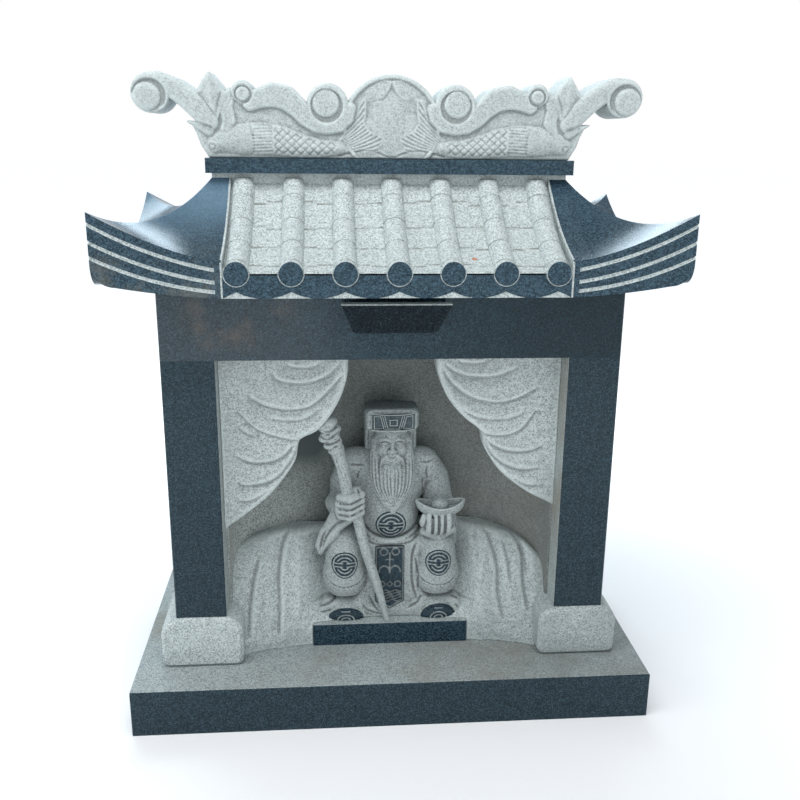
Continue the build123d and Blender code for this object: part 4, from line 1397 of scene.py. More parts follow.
def carve_robe():
    """The robe, and the same block as it was before its creases, which the plates on it follow."""
    block = Block((-126.0, -99.0, floor_z - 2), (126.0, 40.0, 404.0), (1.45, 1.5, 1.45))
    for work in (robe_masses, robe_sleeves, robe_knees, robe_hands):
        work(block)
    block.cut(limb([(48, -76, 318), (46, -72, 300), (45, -66, 282)], [3, 5, 3]), 3)
    _, _, inside_niche = brick((-124, -97, floor_z), (124, 60, 420), 1.0)
    block.trim(inside_niche(*block.points()), 1.5)
    before = copy.copy(block)
    before.d = block.d.copy()
    robe_creases(block)
    carved_piece("carved_robe", wrap(block), figure_granite, ROBE_NODES)
    return before


smooth_robe = carve_robe()

# %% [markdown]
# ## Head
#
# The head is small, so it gets a finer grid. Its features stand where any drawing manual puts them: brow,
# base of the nose and chin a third apart, and eyes one eye's width apart, lids lowered. The beard is cut
# into strands that run together at its point.

# %% Face by the manual's thirds
CHIN_Z = 375.0
THIRD = 20.5
NOSE_Z = CHIN_Z + THIRD
BROW_Z = NOSE_Z + THIRD
EYE_Z = BROW_Z - 6.5
MOUTH_Z = NOSE_Z - THIRD * 0.36
FACE_HALF = 28.0
EYE_X = FACE_HALF * 2 / 5
FACE_Y = -52.0
HEAD_ASIDE = 0.0038
WHISKERS = [(26, -30, 410), (27, -37, 387), (27, -49, 360), (22, -57, 336), (10, -64, 314)]
BEARD_POINT = (1, -67, 302)
STRANDS = ((33, 11), (27, 7), (21.5, 4.6), (15.5, 2.6), (9, 1.4), (3.5, 0.6))


def beside(side, points):
    """Points on one side of the face, where side is -1 or 1 and each y is given from the face's front."""
    return [(side * x, FACE_Y + y, z) for x, y, z in points]


def face_forms(block):
    """Skull, brow, lids, nose, cheeks and mouth."""
    block.add(ball((0, FACE_Y + 28, EYE_Z + 3), (FACE_HALF, 27, 36)), 4)
    block.add(ball((0, FACE_Y + 22, CHIN_Z + 12), (21, 20, 17)), 8)
    for side in (-1, 1):
        brow = [(3.5, 1.5, BROW_Z - 0.5), (11, 2.2, BROW_Z + 1), (19, 8, BROW_Z - 2)]
        block.cut(ball((side * EYE_X, FACE_Y - 2, EYE_Z), (7.5, 5.5, 4.6)), 4)
        block.add(limb(beside(side, brow), [2.0, 2.6, 1.6]), 3)
        block.add(ball((side * EYE_X, FACE_Y + 5.6, EYE_Z - 0.3), (5.6, 4.4, 3.9)), 1.0)
        block.add(ball((side * 14.5, FACE_Y + 8, NOSE_Z + 2), (9, 8, 8)), 7)
        block.add(ball((side * 4.4, FACE_Y - 0.5, NOSE_Z + 2), (3.4, 3.6, 3.0)), 2)
        block.add(ball((side * (FACE_HALF - 0.5), FACE_Y + 26, NOSE_Z + 8), (4, 6, 11)), 3)
    nose = [(0, 2.0, BROW_Z - 3), (0, -2.5, NOSE_Z + 8), (0, -4.5, NOSE_Z + 3.5)]
    lower_lip = [(-6, 3.5, MOUTH_Z - 2.2), (0, 1.2, MOUTH_Z - 2.6), (6, 3.5, MOUTH_Z - 2.2)]
    upper_lip = [(-6.5, 3.6, MOUTH_Z + 1.6), (0, 1.0, MOUTH_Z + 1.4), (6.5, 3.6, MOUTH_Z + 1.6)]
    block.add(limb(beside(1, nose), [2.4, 3.2, 4.2]), 3)
    block.add(limb(beside(1, lower_lip), [1.6, 2.3, 1.6]), 1.5)
    block.add(limb(beside(1, upper_lip), [1.2, 1.7, 1.2]), 1.2)


def beard_forms(block):
    """Whiskers from the temples, a moustache, and the long beard that comes to a point."""
    middle = [(0, -44, 378), (0, -51, 354), (0, -58, 331), (1, -64, 312), (1, -66, 303)]
    block.add(limb(middle, [20, 27, 22, 10, 4], 0.62), 6)
    moustache = [(3, -1, NOSE_Z - 4), (9, 0, NOSE_Z - 6.5), (15, 1.5, MOUTH_Z - 5), (18, 0, CHIN_Z - 8)]
    moustache += [(17, -2, CHIN_Z - 24)]
    for side in (-1, 1):
        fall = [(side * x, y, z) for x, y, z in WHISKERS]
        block.add(limb(fall + [BEARD_POINT], [7, 9, 9.5, 8.5, 6, 3.2]), 5)
        block.add(limb(beside(side, moustache), [2.4, 3.4, 3.4, 3.0, 1.8]), 1.6)
    block.add(ball((0, FACE_Y + 1.5, MOUTH_Z - 9), (7, 5, 6)), 3)


def beard_strands(block):
    """Strands of the beard, the moustache's edge, both lids and the line of the mouth."""
    for side in (-1, 1):
        for x, end in STRANDS:
            top = 392 - (32 - x) * 0.8
            strand = [(side * x, top), (side * (x + 0.4), 362), (side * (x * 0.88), 338)]
            strand += [(1 + side * end, 310)]
            block.crease(strand, 1.9, 1.6, 0.7)
        edge = [(5, NOSE_Z - 6), (11, MOUTH_Z - 1), (17, CHIN_Z + 2), (19, CHIN_Z - 14)]
        lower_lid = [(EYE_X - 5.5, EYE_Z - 1.2), (EYE_X, EYE_Z - 2.4), (EYE_X + 5.5, EYE_Z - 0.8)]
        upper_lid = [(EYE_X - 5.5, EYE_Z + 1.6), (EYE_X, EYE_Z + 3.6), (EYE_X + 6, EYE_Z + 1.2)]
        cuts = [(edge, 1.6, 1.0, 0.6), (lower_lid, 1.2, 1.1, 0.4), (upper_lid, 1.2, 1.0, 0.4)]
        for points, width, depth, blend in cuts:
            block.crease([(side * x, z) for x, z in points], width, depth, blend)
    block.crease([(-6.5, MOUTH_Z - 0.2), (0, MOUTH_Z - 0.6), (6.5, MOUTH_Z - 0.2)], 1.3, 1.3, 0.4)


def moved(surface, aside):
    """The same surface, moved along x by a distance in metres."""
    vertices, quads = surface
    return vertices + (aside, 0, 0), quads


def carve_head():
    """Face and beard, carved in the middle and then set a little to the figure's left."""
    block = Block((-41, -73, 296), (41, 6, 442), (0.85, 0.95, 0.85))
    for work in (face_forms, beard_forms, beard_strands):
        work(block)
    surface = moved(wrap(block), HEAD_ASIDE)
    carved_piece("carved_head", surface, figure_granite, ["figure_head", "figure_beard"])


carve_head()

# %% [markdown]
# ## Cap, staff and ingot
#
# The cap is a tall block with rounded corners, bowed at the front, and a cloth falls behind the neck. The
# staff ends in a gnarled root, which is a stack of uneven rolls. The ingot is a small boat with a round
# boss in its hollow.

# %% Cap
cap_low, cap_high = corners("figure_hat")
BRIM_Z = cap_high[2] - 35.0
CAP_TOP = BRIM_Z + 33.5
CAP_ASIDE = HEAD_ASIDE - 0.0007
BAND_Z = BRIM_Z + 14.0
BAND_HEIGHT = 28.0
FRET_ASIDE = 2.2
FRET_REACH = 33.0


def fret(x, z, reach, height):
    """A plain key fret between -reach and reach: a square in the middle, leaning bars and a panel."""
    x, z = np.broadcast_arrays(x, z)
    u = np.abs(x)
    half = height / 2
    z = z + 2.6 * (1 - (u / reach) ** 2) * np.clip((z + half) / height, 0, 1)
    box = np.maximum(u - 5.6, np.abs(z) - 5.0)
    parts = [np.abs(box) - 0.9]
    lean = (z + half) * 0.24
    for bar in (8.0, 11.4):
        parts.append(np.maximum(np.abs(u - bar - lean) - 0.75, np.abs(z) - half * 0.86))
    panel = np.maximum(np.maximum(14.6 + lean - u, u - reach + 2.5), np.abs(z) - half * 0.76)
    parts.append(np.abs(panel) - 0.8)
    parts.append(np.maximum(np.abs(np.abs(z) - half * 0.98) - 0.9, u - reach - 1))
    return np.minimum.reduce(parts)


def cap_forms(block):
    """The tall block with its sloping lid, the cloth behind the neck, and the roll under the band."""
    half = (cap_high[0] - cap_low[0]) / 2
    block.add(brick((-half + 1, -48, BRIM_Z), (half - 1, 6, CAP_TOP), 7), 0)
    block.add(brick((-half + 6, -56, BRIM_Z + 0.5), (half - 6, 0, CAP_TOP - 2.0), 8), 16)
    _, y, z = block.points()
    block.trim(0.13 * (y + 2) + z - CAP_TOP + 0.2, 4.0)
    block.add(brick((-half + 0.5, -24, cap_low[2] + 4), (half - 0.5, 14, BRIM_Z + 8), 7), 4)
    block.cut(ball((0, -44, BRIM_Z - 26), (30, 24, 30)), 3)
    roll = [(-34, -46, BRIM_Z), (-18, -55, BRIM_Z), (18, -55, BRIM_Z), (34, -46, BRIM_Z)]
    block.add(limb(roll, [2.2] * 4), 1.0)


def cap_shine(x, y, z):
    """The band's ground is polished round its fret, and the top of the cap a little."""
    lines = fret(x - FRET_ASIDE, z - BAND_Z, FRET_REACH, BAND_HEIGHT)
    on_band = rise(np.abs(z - BAND_Z) - BAND_HEIGHT / 2, 1.5) * rise(np.abs(x - FRET_ASIDE) - 34, 2)
    above_band = BAND_Z + BAND_HEIGHT / 2 - 2.6 * (1 - (x / 36) ** 2)
    on_top = rise(above_band + 1.5 - z, 2.0) * 0.12
    return np.maximum(on_band * rise(y + 34, 3) * (1 - rise(lines, 0.8)) * 0.85, on_top)


def carve_cap():
    """The cap, with its fret sunk into the band."""
    half = (cap_high[0] - cap_low[0]) / 2
    low, high = (-half - 2, -66, cap_low[2] + 2), (half + 2, cap_high[1], CAP_TOP + 2)
    block = Block(low, high, (0.8, 1.0, 0.8))
    cap_forms(block)
    x, z = block.seen()
    lines = fret(x - FRET_ASIDE, z - BAND_Z, FRET_REACH, BAND_HEIGHT)
    on_band = rise(np.abs(x) - 36, 2) * rise(np.abs(z - BAND_Z) - BAND_HEIGHT / 2, 1.5)
    block.engrave(1.7 * rise(-lines, 1.2) * on_band, -30)
    for side in (-1, 1):
        block.crease([(side * 36, BRIM_Z - 4), (side * 37, BRIM_Z - 22), (side * 36, BRIM_Z - 40)], 2.2, 1.6)
    surface = wrap(block)
    shine = cap_shine(*(surface[0].T * 1000))
    surface = moved(surface, CAP_ASIDE)
    carved_piece("carved_cap", surface, worked_granite, ["figure_hat"], shine)


carve_cap()

# %% Staff
STAFF_TOP = np.array([-93.0, -77.0, 436.0])
STAFF_FOOT = np.array([-5.0, -82.0, 115.0])
# share of the length, radius, and how far the rod strays there
STAFF_BENDS = [(0.0, 4.2, 0), (0.2, 7.2, 0.5), (0.38, 8.2, -0.5), (0.55, 8.6, 0.6), (0.7, 9.2, -1)]
STAFF_BENDS += [(0.84, 10, 1), (1, 12, 0)]
# place, half width, half height and tip of each roll of the root, and of each hollow in it
ROLLS = [((-86, -76, 411), 13, 7, 14), ((-91, -77, 421), 15, 7.5, 20), ((-97, -78, 431), 16, 8, 8)]
ROLLS += [((-94, -76, 440), 17, 8.5, 24), ((-101, -77, 448), 13, 9, 4), ((-96, -76, 455), 12.5, 9, 16)]
HOLLOWS = [(-86, 419, 6, 22), (-101, 426, 5, 8), (-84, 432, 5.5, 26), (-100, 439, 6, 14), (-88, 446, 5, 20)]
STAFF_CREASES = [
    ([(-109, 424), (-97, 423), (-80, 429)], 2.6, 2.2),
    ([(-112, 435), (-98, 433), (-81, 441)], 2.6, 2.2),
    ([(-111, 446), (-99, 443), (-84, 450)], 2.4, 2.0),
    ([(-90, 412), (-82, 384), (-74, 362)], 1.8, 1.2),
    ([(-80, 392), (-70, 366), (-62, 342)], 1.6, 1.0),
]


def carve_staff():
    """A rod that strays a little, under a root of uneven rolls."""
    block = Block((-118, -98, floor_z), (6, -60, 468), (1.1, 1.15, 1.1))
    rod = [STAFF_FOOT + (STAFF_TOP - STAFF_FOOT) * t + np.array([2.0 * w, 0, w]) for t, _, w in STAFF_BENDS]
    block.add(limb(rod, [radius for _, radius, _ in STAFF_BENDS]), 2)
    for place, wide, tall, tip in ROLLS:
        block.add(ball(place, (wide, 14, tall), 0, tip), 2.6)
    for x, z, wide, tip in HOLLOWS:
        block.cut(ball((x, -92, z), (wide, 5.5, 2.6), 0, tip), 1.2)
    for points, width, depth in STAFF_CREASES:
        block.crease(points, width, depth, 0.8)
    carved_piece("carved_staff", wrap(block), figure_granite, ["staff"])


carve_staff()

# %% Ingot
INGOT_RIM = 308.0
INGOT_WALL = 3.6


def carve_ingot():
    """A boat with raised ends: a hull cut off along a curved rim, hollowed, with a boss inside."""
    low, high = corners("gold_ingot")
    x0, rim = (low[0] + high[0]) / 2 + 2.0, INGOT_RIM
    block = Block((low[0] - 5, -97, rim - 22), (high[0] + 7, -40, rim + 18), 0.8)
    x, y, z = block.points()
    edge = rim + 11.5 * np.abs((x - x0) / 38.0) ** 1.8 + 2.5 * np.abs((y + 66) / 20.0)
    block.add(ball((x0, -66, rim + 6), (39, 21, 24)), 0)
    for side in (-1, 1):
        block.add(limb([(x0 + side * 24, -66, rim + 1), (x0 + side * 37, -64, rim + 8)], [8, 3.0]), 4)
    hull = block.d.copy()
    block.trim(z - edge, 1.5)
    block.trim(-np.maximum(hull + INGOT_WALL, (edge - 8.0 - z) * 0.9), 1.2)
    block.add(ball((x0, -66, rim + 1.0), (14, 12.5, 11.5)), 1.5)
    carved_piece("carved_ingot", wrap(block), figure_granite, ["gold_ingot"])


carve_ingot()

# %% [markdown]
# ## Medallions, apron and toe caps
#
# These are the only polished spots on the figure: thin plates of the stone left dark, with a plain fret of
# bars, arcs and rings sunk into them and honed light. The fret is symmetrical and means nothing. Each plate
# follows the robe behind it, and a number on every vertex says how polished it is.

# %% Plates that lie on the robe
def ring_fret(x, z, radius):
    """Distance to a generic round fret: a rim, nested arcs above and below, and short bars at the sides."""
    reach = np.hypot(x, z)
    unit = radius / 22.0
    rim = np.abs(reach - radius * 0.86) - 1.1 * unit
    arcs = np.abs(reach - radius * 0.60) - 1.1 * unit
    arcs = np.maximum(arcs, radius * 0.30 - np.abs(z))
    inner = np.maximum(np.abs(reach - radius * 0.34) - 1.1 * unit, radius * 0.16 - np.abs(z))
    bars = np.abs(np.abs(z) - radius * 0.13) - 1.0 * unit
    bars = np.maximum(bars, reach - radius * 0.80)
    bars = np.maximum(bars, radius * 0.12 - np.abs(x))
    return np.minimum.reduce([rim, arcs, inner, bars])


def arch_fret(x, z, half, height):
    """Nested half rings over a short bar, for a toe cap."""
    reach = np.hypot(x / half, z / height)
    rings = np.minimum(np.abs(reach - 0.46), np.abs(reach - 0.24)) * height - 0.8
    bar = np.maximum(np.abs(z - height * 0.72) - 0.8, np.abs(x) - half * 0.24)
    return np.minimum(rings, bar)


def apron_fret(x, z, half, top, low):
    """A border, two pairs of scrolls on a plain stem, and waves at the point."""
    x, z = np.broadcast_arrays(x, z)
    u = np.abs(x)
    edge = np.minimum(half - u, top - z)
    point = (z - low) * 0.9 - u * 0.44
    border = np.abs(np.minimum(edge, point) - 2.2) - 0.9
    stem = np.maximum(u - 1.2, np.abs(z - (top - 30)) - 19)
    first = np.maximum(np.abs(np.hypot(u - 9.5, z - (top - 10)) - 6.0) - 1.15, (top - 13) - z - 4)
    second = np.maximum(np.abs(np.hypot(u - 9.0, (z - (top - 46)) * 0.8) - 8.5) - 1.15, (top - 47) - z)
    cross = np.maximum(np.abs(z - (top - 24)) - 0.9, u - 7)
    parts = [border, stem, first, second, cross]
    parts.append(np.maximum(np.abs(np.hypot(u - 13, z - (top - 68)) - 5.0) - 1.0, u - half + 4.5))
    parts.append(np.abs(np.abs(u) + np.abs(z - (top - 68)) - 5.0) - 0.9)
    for i in range(5):
        wave = z - (low + 13 + 4.4 * i) - 1.6 * np.sin(x / 2.6 + i)
        parts.append(np.maximum(np.abs(wave) - 0.95, np.maximum(u - half + 4.5, -point + 4)))
    return np.minimum.reduce(parts)


def carve_plate(name, low, high, outline, lines, proud, nodes=()):
    """A thin plate over the smooth robe, with its pattern sunk by a millimetre and left unpolished."""

    def back(x, z):
        x, z = np.broadcast_arrays(x, z)
        y = smooth_robe.front(x.ravel(), z.ravel()).reshape(x.shape)
        return np.where(np.isnan(y), np.nanmax(y), y)

    spread = back(np.linspace(low[0], high[0], 24)[:, None], np.linspace(low[1], high[1], 24)[None, :])
    block = relief(
        (low[0] - 2, spread.min() - proud - 2, low[1] - 2),
        (high[0] + 2, spread.max() + 5, high[1] + 2),
        (0.62, 0.7, 0.62),
        outline,
        lambda x, z: back(x, z) - proud + 1.0 * rise(lines(x, z), 1.0),
        lambda x, z: back(x, z) + 3.0,
        0.8,
    )
    surface = wrap(block)
    x, _, z = surface[0].T * 1000
    shine = 1 - rise(lines(x, z), 0.9)
    carved_piece(name, surface, worked_granite, nodes, shine)


def medallion(name, x0, z0, radius):
    """A round plate at (x0, z0)."""
    carve_plate(
        name,
        (x0 - radius, z0 - radius),
        (x0 + radius, z0 + radius),
        lambda x, z: disc(x, z, (x0, z0), radius),
        lambda x, z: ring_fret(x - x0, z - z0, radius),
        0.9,
    )


def toe_cap(name, x0, node, height):
    """Half an oval over a shoe's toe."""
    low, high = corners(node)
    half = (high[0] - low[0]) / 2 + 2.5
    foot = low[2] + 0.8
    carve_plate(
        name,
        (x0 - half, foot),
        (x0 + half, foot + height),
        lambda x, z: np.maximum((np.hypot((x - x0) / half, (z - foot) / height) - 1) * height, foot - z),
        lambda x, z: arch_fret(x - x0, z - foot, half, height),
        0.9,
        [node],
    )


def apron_plate():
    """A long plate that ends in a blunt point."""
    half, top, low = 24.0, 239.0, 128.0

    def outline(x, z):
        return np.maximum(np.maximum(np.abs(x) - half, z - top), (low + 0.47 * np.abs(x) - z) * 0.9)

    def lines(x, z):
        return apron_fret(x, z, half, top, low)

    carve_plate("carved_apron", (-half, low), (half, top), outline, lines, 1.4, ["robe_apron"])


medallion("belly_medallion", 1.5, 275.5, 25.0)
medallion("left_knee_medallion", -74.0, 214.5, 21.5)
medallion("right_knee_medallion", 78.5, 215.0, 21.5)
toe_cap("left_toe_cap", -72.5, "left_shoe", 20.5)
toe_cap("right_toe_cap", 80.5, "right_shoe", 23.0)
apron_plate()

# %% [markdown]
# ## Roof tiles
#
# The roof block is sawn to its slope, and the mason then cuts rows of half-round cover tiles with pan tiles
# between them. Each row is the same row again, one pitch further on, so one row is drawn along the slope
# and a Geometry Nodes tree repeats it. The joints aren't lines of paint: the row swells a little at the
# lower end of each tile and steps in under the next.


# %% Geometry Nodes helper
class Plan(Tree):
    """A Geometry Nodes tree with named inputs, each given its value."""

    def __init__(self, name, inputs):
        super().__init__(bpy.data.node_groups.new(name, "GeometryNodeTree"))
        face = self.tree.interface
        face.new_socket("Geometry", in_out="OUTPUT", socket_type="NodeSocketGeometry")
        self.keys = {}
        for label, value in inputs.items():
            kind = "NodeSocketInt" if isinstance(value, int) else "NodeSocketFloat"
            socket = face.new_socket(label, in_out="INPUT", socket_type=kind)
            socket.default_value = value
            self.keys[label] = socket.identifier
        self.inlet = self.tree.nodes.new("NodeGroupInput")

    def given(self, label):
        return Wire(self, self.inlet.outputs[label])

    def vector(self, x=0.0, y=0.0, z=0.0):
        return self.node("CombineXYZ", None, {0: x, 1: y, 2: z})

    def front_and_back(self, geometry):
        """The geometry, and the same again behind the ridge."""
        turn = {"Geometry": geometry, "Rotation": (0.0, 0.0, math.pi)}
        behind = self.node("GeometryNodeTransform", None, turn)
        joined = self.tree.nodes.new("GeometryNodeJoinGeometry")
        for part in (geometry, behind):
            self.tree.links.new(part.socket, joined.inputs[0])
        return Wire(self, joined.outputs[0])

    def along_eave(self, geometry, count, pitch):
        """Copies of the geometry, a pitch apart and centred on the roof."""
        start = (count - 1.0) * pitch * -0.5
        row = {"Count": count, "Start Location": self.vector(start), "Offset": self.vector(pitch)}
        points = self.node("GeometryNodeMeshLine", None, row)
        return self.node("GeometryNodeInstanceOnPoints", None, {"Points": points, "Instance": geometry})

    def make(self, name, geometry, finish, values):
        """The plain mesh piece that the tree makes with these input values."""
        real = self.node("GeometryNodeRealizeInstances", None, {0: geometry})
        done = self.node("GeometryNodeSetMaterial", None, {"Geometry": real, "Material": finish})
        self.tree.links.new(done.socket, self.tree.nodes.new("NodeGroupOutput").inputs[0])
        host = placed(name + "_host", bpy.data.meshes.new(name + "_host"))
        modifier = host.modifiers.new(name, "NODES")
        modifier.node_group = self.tree
        for label, value in values.items():
            modifier[self.keys[label]] = value
        mesh = finished_mesh(host)
        bpy.data.objects.remove(host)
        piece = placed(name, mesh)
        thin(piece)
        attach(piece, "root")
        return piece


# %% The slope
end_low, end_high = (np.array(c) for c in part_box("front_tile_ends"))
ridge_low, ridge_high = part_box("ridge_neck")
EAVE_Y = float(end_high[1])
RIB_RADIUS = float(end_high[2] - end_low[2]) / 2
SLOPE_FOOT = Vector((0.0, EAVE_Y, (end_low[2] + end_high[2]) / 2))
SLOPE_HEAD = Vector((0.0, float(ridge_low[1]), float(ridge_low[2]) - 0.010))
SLOPE_SAG = 0.014
FIELD_HALF = float(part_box("roof_core")[1][0])
RIDGE_HALF = float(ridge_high[1])
RIDGE_FOOT = float(ridge_low[2])
RIB_COUNT = 7
RIB_PITCH = float(end_high[0] - end_low[0] - 2 * RIB_RADIUS) / (RIB_COUNT - 1)
JOINTS = (0.112, 0.352, 0.592, 0.832)  # shares of the way from the eave to the ridge


def slope_height(y):
    """Height of the front slope in metres at the depth y."""
    t = (y - SLOPE_FOOT.y) / (SLOPE_HEAD.y - SLOPE_FOOT.y)
    return SLOPE_FOOT.z + (SLOPE_HEAD.z - SLOPE_FOOT.z) * t - 4 * SLOPE_SAG * t * (1 - t)


print("tile pitch in mm:", round(RIB_PITCH * 1000, 1), "radius:", round(RIB_RADIUS * 1000, 1))

# %% Stone of the tiles
JOINT_DIRT_AND_SHADE = (0.20, 0.21, 0.19)
PIT_COLOUR = (0.09, 0.10, 0.11)
PITS = 52.0  # cells to a metre, of which a third hold a pit
RUST = (0.52, 0.16, 0.05)
RUST_Y = -0.1785
RUST_PLACE = (0.1052, RUST_Y, slope_height(RUST_Y) + 0.0014)


def tile_stone():
    """Bleached granite with a few dark pits and one spot of rust."""
    recipe = Recipe("tile granite")
    colour = honed_colour(recipe, 1.04)
    from_pit = recipe.node("TexVoronoi", None, {"Vector": recipe.place, "Scale": PITS})
    chosen = recipe.cell_value(PITS).above(0.66, 0.68)
    colour = recipe.mix((1.0 - from_pit.above(0.035, 0.06)) * chosen * 0.75, colour, PIT_COLOUR)
    # dark joints between the tiles, and painted shade where the pans meet each cover tile
    joint = recipe.learned("hollow").above(0.15, 0.9) * patches(recipe, 60.0, 0.30, 0.62, 0.7)
    colour = recipe.mix(joint * 0.85, colour, JOINT_DIRT_AND_SHADE)
    away = recipe.node("VectorMath", {"operation": "DISTANCE"}, {0: recipe.place, 1: RUST_PLACE}, 1)
    ragged = away + recipe.noise(420.0, 2.0) * 0.0035
    colour = recipe.mix((1.0 - ragged.above(0.0046, 0.0062)) * 0.9, colour, RUST)
    return recipe.finish({
        "Base Color": colour,
        "Roughness": roughness_of(recipe, 0.74, 0.06),
        "Normal": worked_bump(recipe),
        "Specular IOR Level": 0.32,
    })


tile_granite = tile_stone()


# %% Rows of cover tiles
EAVE_OVERHANG = 0.009


def cover_tiles():
    """Seven rows on each slope, from one row drawn along it."""
    sizes = {"Radius": RIB_RADIUS, "Pitch": RIB_PITCH, "Count": RIB_COUNT, "Joint": 0.0009, "Swell": 0.0007}
    plan = Plan("cover tiles", sizes)
    start = SLOPE_FOOT + (SLOPE_FOOT - SLOPE_HEAD).normalized() * EAVE_OVERHANG
    bend = (SLOPE_FOOT + SLOPE_HEAD) / 2 - Vector((0, 0, 2 * SLOPE_SAG))
    ends = {"Start": start, "Middle": bend, "End": SLOPE_HEAD + Vector((0, 0.004, 0.002))}
    path = plan.node("GeometryNodeCurveQuadraticBezier", None, {"Resolution": 160, **ends})
    path = plan.node("GeometryNodeResampleCurve", None, {"Curve": path, "Count": 240})
    along = plan.node("GeometryNodeSplineParameter")
    step = JOINTS[2] - JOINTS[1]
    part = ((along - JOINTS[1]) / step).fraction()
    near = 0.5 - (part - 0.5).size()
    groove = 1.0 - (near * (step * 0.21 / 0.0015)).least(1.0)
    radius = plan.given("Radius") + (1.0 - part) * plan.given("Swell") - groove * plan.given("Joint")
    path = plan.node(
        "GeometryNodeStoreNamedAttribute",
        {"data_type": "FLOAT", "domain": "POINT"},
        {"Geometry": path, "Name": "hollow", "Value": groove},
    )
    ring = plan.node("GeometryNodeCurvePrimitiveCircle", None, {"Resolution": 32, "Radius": 1.0})
    sweep = {"Curve": path, "Profile Curve": ring, "Scale": radius, "Fill Caps": True}
    tube = plan.node("GeometryNodeCurveToMesh", None, sweep)
    spot = plan.node("GeometryNodeInputPosition")
    x, y, z = (plan.part(spot, axis) for axis in range(3))
    inside = plan.vector(x, y.most(EAVE_Y + 0.0002), z.least(SLOPE_HEAD.z + 0.0098))
    tube = plan.node("GeometryNodeSetPosition", None, {"Geometry": tube, "Position": inside})
    rows = plan.along_eave(tube, plan.given("Count"), plan.given("Pitch"))
    piece = plan.make("cover_tiles", plan.front_and_back(rows), tile_granite, {"Joint": 0.0010})
    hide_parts("front_tile_ribs", "back_tile_ribs")


cover_tiles()


# %% Solid pieces from grids and outlines
MANY_FACES = 20000


def solid_piece(name, solids, finish, hollow=None):
    """One piece from several closed solids, each given as vertices in metres and faces."""
    vertices, faces = [], []
    for points, sides in solids:
        faces += [tuple(i + len(vertices) for i in side) for side in sides]
        vertices += [tuple(p) for p in points]
    mesh = bpy.data.meshes.new(name)
    mesh.from_pydata(vertices, [], faces)
    mesh.update()
    if hollow is not None:
        teach(mesh, "hollow", hollow)
    mesh.materials.append(finish)
    piece = placed(name, mesh)
    if len(faces) > MANY_FACES:
        thin(piece)
    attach(piece, "root")
    print(name, "faces:", len(piece.data.polygons))


def turned_behind(solid):
    """The same solid on the other side of the ridge."""
    points, sides = solid
    return np.array(points) * (-1, -1, 1), sides


def slab_on_grid(top, bottom):
    """A closed slab between two grids of points, each of shape (m, n, 3), facing up."""
    m, n = top.shape[:2]
    index = np.arange(m * n).reshape(m, n)
    quads = np.stack([index[:-1, :-1], index[1:, :-1], index[1:, 1:], index[:-1, 1:]], -1).reshape(-1, 4)
    rim = np.concatenate([index[:, 0], index[-1, 1:], index[-2::-1, -1], index[0, -2:0:-1]])
    ring = np.stack([rim, rim + m * n, np.roll(rim, -1) + m * n, np.roll(rim, -1)], -1)
    faces = np.concatenate([quads, quads[:, ::-1] + m * n, ring])
    return np.concatenate([top.reshape(-1, 3), bottom.reshape(-1, 3)]), faces.tolist()


# %% [markdown]
# The pan tiles could be dozens of separate plates. Because they lie edge to edge under the cover tiles, one
# thin bed does for each slope. Its height rises a little towards the lower end of every course and drops at
# the joint, and each pan's joints are shifted by a millimetre or so, as hand work is.


# %% Bed of pan tiles
JOINT_SHIFT = 0.0035
COURSE_HEAD = 0.0014  # lift of a pan above the slope at its upper end
COURSE_FOOT = 0.0024  # and at its lower end
JOINT_DEPTH = 0.0008
JOINT_HALF = 0.0016
BED_DEPTH = 0.002


def pan_bed():
    """Both beds, with a course of pans between each two joints."""
    shifts = np.random.default_rng(7).uniform(-JOINT_SHIFT, JOINT_SHIFT, (RIB_COUNT + 1, len(JOINTS)))
    reach = FIELD_HALF - 0.0002
    xs = np.linspace(-reach, reach, 131)
    ys = np.linspace(SLOPE_FOOT.y, SLOPE_HEAD.y, 150)
    x, y = np.meshgrid(xs, ys, indexing="ij")
    pan = np.clip(np.floor(x / RIB_PITCH + RIB_COUNT / 2).astype(int), 0, RIB_COUNT)
    length = SLOPE_HEAD.y - SLOPE_FOOT.y
    t = (y - SLOPE_FOOT.y) / length
    lift, dirt_and_shade = np.zeros(x.shape), np.zeros(x.shape)
    edges = [np.zeros(x.shape)] + [j + shifts[pan, i] / length for i, j in enumerate(JOINTS)]
    edges += [np.full(x.shape, 1.15)]
    for low, high in zip(edges[:-1], edges[1:]):
        inside = (t >= low) & (t < high)
        lift[inside] = (COURSE_FOOT - (COURSE_FOOT - COURSE_HEAD) * (t - low) / (high - low))[inside]
    for joint in edges[1:-1]:
        near = np.clip(1 - np.abs(t - joint) * length / JOINT_HALF, 0, 1)
        lift -= JOINT_DEPTH * near
        dirt_and_shade += 1.3 * near
    from_rib = np.abs((x / RIB_PITCH + 0.5) % 1.0 - 0.5) * RIB_PITCH - RIB_RADIUS
    # painted shade where the pans meet each cover tile
    dirt_and_shade += 0.5 * np.exp(-np.maximum(from_rib, 0) / 0.0012)
    base = slope_height(y)
    solid = slab_on_grid(np.stack([x, y, base + lift], -1), np.stack([x, y, base - BED_DEPTH], -1))
    hollow = np.concatenate([dirt_and_shade.ravel(), dirt_and_shade.ravel() * 0] * 2)
    solid_piece("pan_tiles", [solid, turned_behind(solid)], tile_granite, hollow)


pan_bed()

# %% [markdown]
# ## Lines cut into the eaves
#
# Three grooves run round each end of the roof and fan out towards the tips. The saw leaves their floors
# rough, so they stay pale against the polish. Painting pale lines would look flat from the side. A thin
# dished strip laid in each groove keeps the polish's sharp edge and catches the light as a cut does.

# %% Strips that follow a path
grooved_granite = granite("groove granite", 0.98)


